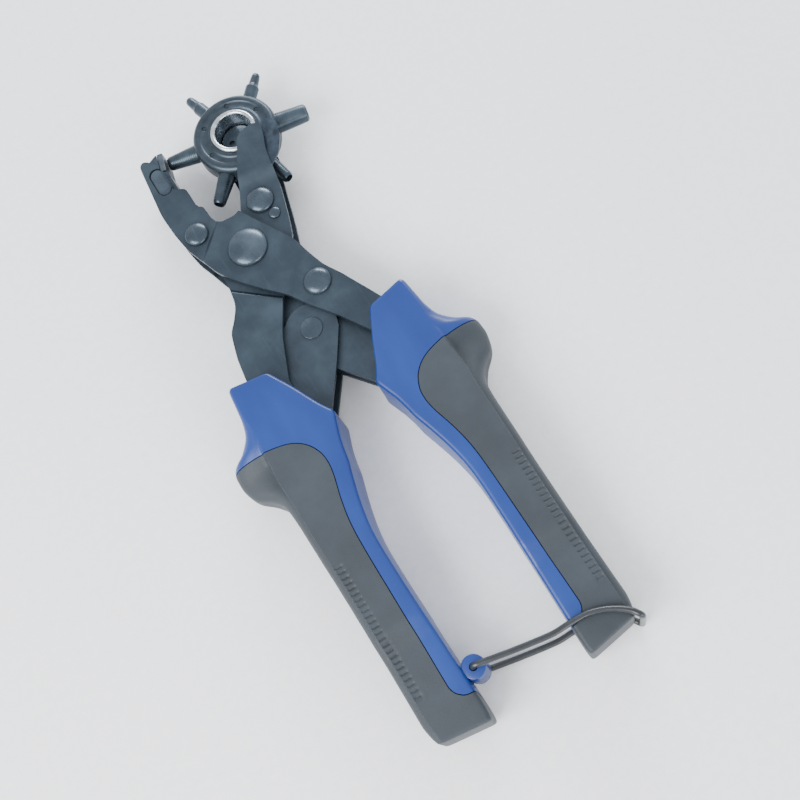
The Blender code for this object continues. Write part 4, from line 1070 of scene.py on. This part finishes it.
# %% Soft grip and hard housing
SHUT_OFF_GROOVE = 0.3
SOFT_EDGE = (
    (52.0, -67.4), (42.5, -68.4), (33.0, -69.6), (26.0, -71.6), (21.6, -75.0), (19.2, -79.4),
    (18.6, -83.6), (19.2, -88.6), (21.2, -96.6), (22.6, -105.0), (23.1, -116.0), (23.2, -140.0),
    (23.4, -160.0), (23.2, -164.6), (21.6, -167.2), (18.8, -168.6), (12.0, -168.8),
)
CORE = (
    (19.0, 36.4, -64.0, 8.6), (18.0, 36.2, -72.0, 8.6), (18.0, 35.2, -79.0, 8.6), (17.0, 34.8, -85.0, 8.6),
    (18.0, 34.6, -94.0, 8.6), (20.0, 34.4, -104.0, 8.6), (21.0, 34.2, -116.0, 8.6),
    (21.0, 34.0, -138.0, 8.6), (21.0, 33.8, -150.0, 6.4), (20.6, 33.8, -161.0, 6.4),
    (19.6, 33.4, -166.8, 6.4),
)
CAVITY = (
    (-2.0, -36.0), (38.0, -36.0), (38.0, -44.6), (33.2, -49.0), (33.9, -57.0), (34.3, -63.0),
    (32.6, -68.5), (28.5, -74.0), (14.0, -74.0), (11.0, -69.6), (4.0, -69.6),
)
CAVITY_SPARE = 0.55
LATCH_AT = (-10.4, -162.3)


def smooth_line(points, count=6):
    rows = [between(points, i, k / count) for i in range(len(points) - 1) for k in range(count)]
    return rows + [points[-1]]


def shifted(points, distance):
    moved = []
    for i, point in enumerate(points):
        a, b = points[max(0, i - 1)], points[min(len(points) - 1, i + 1)]
        dx, dy = b[0] - a[0], b[1] - a[1]
        length = math.hypot(dx, dy)
        moved.append((point[0] - dy / length * distance, point[1] + dx / length * distance))
    return moved


TOOL_REACH = 20


def beyond_edge(distance, side):
    """A tall block that covers everything on the soft side of the shut-off line."""
    line = shifted(smooth_line(SOFT_EDGE), -distance)
    ring = line + [(12.0, -190.0), (60.0, -190.0), (60.0, line[0][1])]
    outline = [(HANDLE_PIVOT[0] + side * x, y) for x, y in ring]
    return block("shut_off_tool", outline, -TOOL_REACH, TOOL_REACH, soft_grey, None)


def core_block(grow, side):
    rings = []
    for i, (x0, x1, y, half) in enumerate(CORE):
        y += {0: grow, len(CORE) - 1: -grow}.get(i, 0.0)
        x0, x1, half = x0 - grow, x1 + grow, half + grow
        upper = [(x0, half), (x1 - 2.0, half), (x1, half - 2.0)]
        rings.append([(x, y, z) for x, z in upper + [(x, -z) for x, z in reversed(upper)]])
    return loft("core_tool", rings, hard_blue, side)


def grown_ring(ring, distance):
    closed = shifted(list(ring[-1:]) + list(ring) + list(ring[:1]), distance)
    return closed[1:-1]


def soft_grip(side_name, side):
    name = side_name + "_soft_grip"
    piece = loft("overmoulded_" + name, rings_of_grip, soft_grey, side)
    cut(piece, beyond_edge(0.0, side), "INTERSECT")
    cut(piece, core_block(SHUT_OFF_GROOVE, side))
    finish_piece(bake(piece), side_name + "_handle", name, 38, 0.22, 2)


def housing(side_name, side):
    name = side_name + "_shell"
    piece = loft("moulded_" + name, rings_of_grip, hard_blue, side)
    cut(piece, beyond_edge(SHUT_OFF_GROOVE, side))
    cut(piece, core_block(0.0, side), "UNION")
    room = [(HANDLE_PIVOT[0] + side * x, y) for x, y in CAVITY]
    reach = TAIL_IN + JAW_T + CAVITY_SPARE
    cut(piece, block("cavity_tool", room, -reach, reach, hard_blue, None))
    tang = grown_ring(LEVER_OUTER[3:-2], RUNNING)
    tang = mirror(tang) if side < 0 else tang
    reach = LEVER_L_IN + LEVER_T + RUNNING
    cut(piece, block("tang_tool", tang, -reach, reach, hard_blue, None))
    if side < 0:
        ear = [(0.0, -7.4), (3.2, -7.4), (3.7, -7.2), (3.9, -6.7),
               (3.9, 6.7), (3.7, 7.2), (3.2, 7.4), (0.0, 7.4)]
        cut(piece, turned_piece("ear_tool", ear, LATCH_AT, hard_blue, 48), "UNION")
        cut(piece, block("ear_hole", circle(LATCH_AT, 1.3, 32), -11.0, 11.0, hard_blue, None))
    finish_piece(bake(piece), side_name + "_handle", name, 38, 0.28, 2)


for side_name, side in (("right", 1), ("left", -1)):
    soft_grip(side_name, side)
    housing(side_name, side)
print("two grips of two mouldings each")

# %% [markdown]
# ## Wire pieces
# The return spring and the latch are bent from round wire. A wire is a ring of points swept
# along a line. The ring is carried from point to point with as little twist as possible.

# %% A bent wire
def wire(name, path, radius, finish, segments=20):
    points = [Vector(p) for p in path]
    verts, normal = [], None
    for i, point in enumerate(points):
        ahead = points[min(i + 1, len(points) - 1)] - point
        behind = point - points[max(i - 1, 0)]
        tangent = (ahead.normalized() + behind.normalized()).normalized()
        normal = normal or tangent.orthogonal().normalized()
        normal = (normal - tangent * normal.dot(tangent)).normalized()
        across = tangent.cross(normal)
        for k in range(segments):
            turn = 2 * math.pi * k / segments
            verts.append(tuple(point + radius * (math.cos(turn) * normal + math.sin(turn) * across)))
    return solid(name, verts, tube_faces(len(points), segments), finish)


def bent(path, radius, steps=8):
    points = [Vector(p) for p in path]
    out = [points[0]]
    for before, corner, after in zip(points, points[1:], points[2:]):
        out += corner_curve(before, corner, after, radius, steps, 0.48)
    return out + [points[-1]]


# %% [markdown]
# ## Return spring
# A torsion spring lies around the handle pivot between the lever plates, with one leg against
# each handle. It opens the tool when the hand relaxes.

# %% Torsion spring
def return_spring():
    turns, steps, coil_r, wire_r = 1.5, 72, 4.7, 0.55
    cx, cy = HANDLE_PIVOT
    rise = (2 * wire_r + 0.12) * turns * 0.9
    coil = []
    for i in range(steps + 1):
        turn = math.pi * (1 + 2 * turns * i / steps)
        coil.append((cx + coil_r * math.cos(turn), cy + coil_r * math.sin(turn), rise * (0.5 - i / steps)))
    top, low = coil[0][2], coil[-1][2]
    left = bent([(cx - 13.4, cy - 28.6, top), (cx - coil_r - 0.6, cy - 6.0, top), coil[0]], 3.0)
    right = bent([coil[-1], (cx + coil_r + 0.6, cy - 6.0, low), (cx + 13.4, cy - 28.6, low)], 3.0)
    path = left[:-1] + [Vector(p) for p in coil] + right[1:]
    finish_piece(wire("coiled_return_spring", path, wire_r, blued, 14), "right_handle", "return_spring", 60)


return_spring()
print("return spring made")

# %% [markdown]
# ## Latch
# The latch is a loop of wire. Its ends sit in the round ear of the left handle, and its legs
# pass either side of the right handle, where a bar joins them. To close the tool the bar is
# swung over the end of the right handle. It is made here in the place where the engineering
# model parks it, just clear of that handle.

# %% Wire loop
LATCH_PARKED = -24.5
LEG_PATH = (
    (0.0, 0.0), (12.0, 2.5), (24.2, 5.5), (30.0, 7.9), (35.6, 10.0), (41.0, 10.6), (46.0, 10.0),
    (49.4, 8.9),
)


def latch_loop():
    c, s = math.cos(math.radians(LATCH_PARKED)), math.sin(math.radians(LATCH_PARKED))

    def swung(x, y):
        return LATCH_AT[0] + x * c - y * s, LATCH_AT[1] + x * s + y * c

    leg_z, wire_r = 9.85, 1.0
    leg = [swung(*p) for p in smooth_line(LEG_PATH[1:], 5)]
    hinge, bar = swung(0.0, 0.0), swung(51.8, 7.3)
    upper = [(*hinge, 3.0), (*hinge, leg_z)] + [(x, y, leg_z) for x, y in leg] + [(*bar, leg_z)]
    path = upper + [(x, y, -z) for x, y, z in reversed(upper)]
    piece = wire("bent_latch_loop", bent(path, 2.0, 6), wire_r, wire_black)
    finish_piece(piece, "latch", "latch_loop", 60)


latch_loop()
print("latch loop made")

# %% [markdown]
# ## Floor, light and camera
# The plier lies on a plain pale floor. A pale surround and a large soft lamp at the side give
# even light with gentle shadows, as on a product table. Two narrow lamps, one beyond the head
# and one beyond the handles, draw the bright lines along edges and domes. The camera looks
# down steeply from the handles' end, and is turned so that the tool lies across the picture.

# %% Floor
FLOOR_HALF, FLOOR_DROP = 6.0, -0.0002


def pale_floor():
    mat, shader, where = new_finish("matt_white_paper", "eef0f2", 0.0, 0.75)
    fibre = noise(mat, where, 3.0, 5.0)
    feed(mat, shader, Base_Color=steps_between(mat, fibre, ("ebedf0", "f3f4f6")),
         Roughness=span(mat, fibre, 0.70, 0.82), Normal=relief(mat, fibre, 0.02))
    mesh = bpy.data.meshes.new("paper_floor")
    far = FLOOR_HALF
    mesh.from_pydata([(-far, -far, 0), (far, -far, 0), (far, far, 0), (-far, far, 0)], [], [(0, 1, 2, 3)])
    mesh.materials.append(mat)
    floor = bpy.data.objects.new("paper_floor", mesh)
    bpy.context.scene.collection.objects.link(floor)
    floor.location.z = FLOOR_DROP


pale_floor()
print("floor laid")


# %% Light
def surround(strength):
    world = bpy.data.worlds.new("pale_surround")
    bpy.context.scene.world = world
    world.use_nodes = True
    back = world.node_tree.nodes["Background"]
    back.inputs["Color"].default_value = linear("eef1f5")
    back.inputs["Strength"].default_value = strength


def lamp(name, where, target, size, watts, tint="ffffff"):
    data = bpy.data.lights.new(name, "AREA")
    data.shape = "RECTANGLE"
    data.size, data.size_y = size
    data.energy = watts
    data.color = linear(tint)[:3]
    item = bpy.data.objects.new(name, data)
    item.location = where
    item.rotation_euler = (Vector(target) - Vector(where)).to_track_quat("-Z", "Y").to_euler()
    bpy.context.scene.collection.objects.link(item)


surround(1.5)
lamp("side_softbox", (-0.62, -0.25, 0.62), (0.0, 0.0, 0.0), (0.7, 0.5), 14.0)
lamp("far_strip", (0.45, 0.70, 0.30), (0.0, 0.03, 0.0), (0.5, 0.16), 8.0, "f4f8ff")
lamp("near_strip", (0.15, -0.75, 0.30), (0.0, 0.0, 0.0), (0.5, 0.12), 3.0, "fffaf4")
print("light: surround, side softbox, far strip, near strip")


# %% Camera
def camera():
    data = bpy.data.cameras.new("product_camera")
    data.lens = 53.63
    data.sensor_width = 36.0
    data.shift_x, data.shift_y = -0.0119, -0.0116
    data.clip_start = 0.01
    item = bpy.data.objects.new("product_camera", data)
    right = Vector((0.8379, -0.5153, -0.1800)).normalized()
    ahead = Vector((0.0238, 0.3639, -0.9311))
    ahead = (ahead - right * ahead.dot(right)).normalized()
    up = right.cross(ahead)
    turn = Matrix((right, up, -ahead)).transposed()
    item.matrix_world = Matrix.Translation(place(10.07, -217.87, 367.07)) @ turn.to_4x4()
    bpy.context.scene.collection.objects.link(item)
    bpy.context.scene.camera = item


camera()
print("camera set")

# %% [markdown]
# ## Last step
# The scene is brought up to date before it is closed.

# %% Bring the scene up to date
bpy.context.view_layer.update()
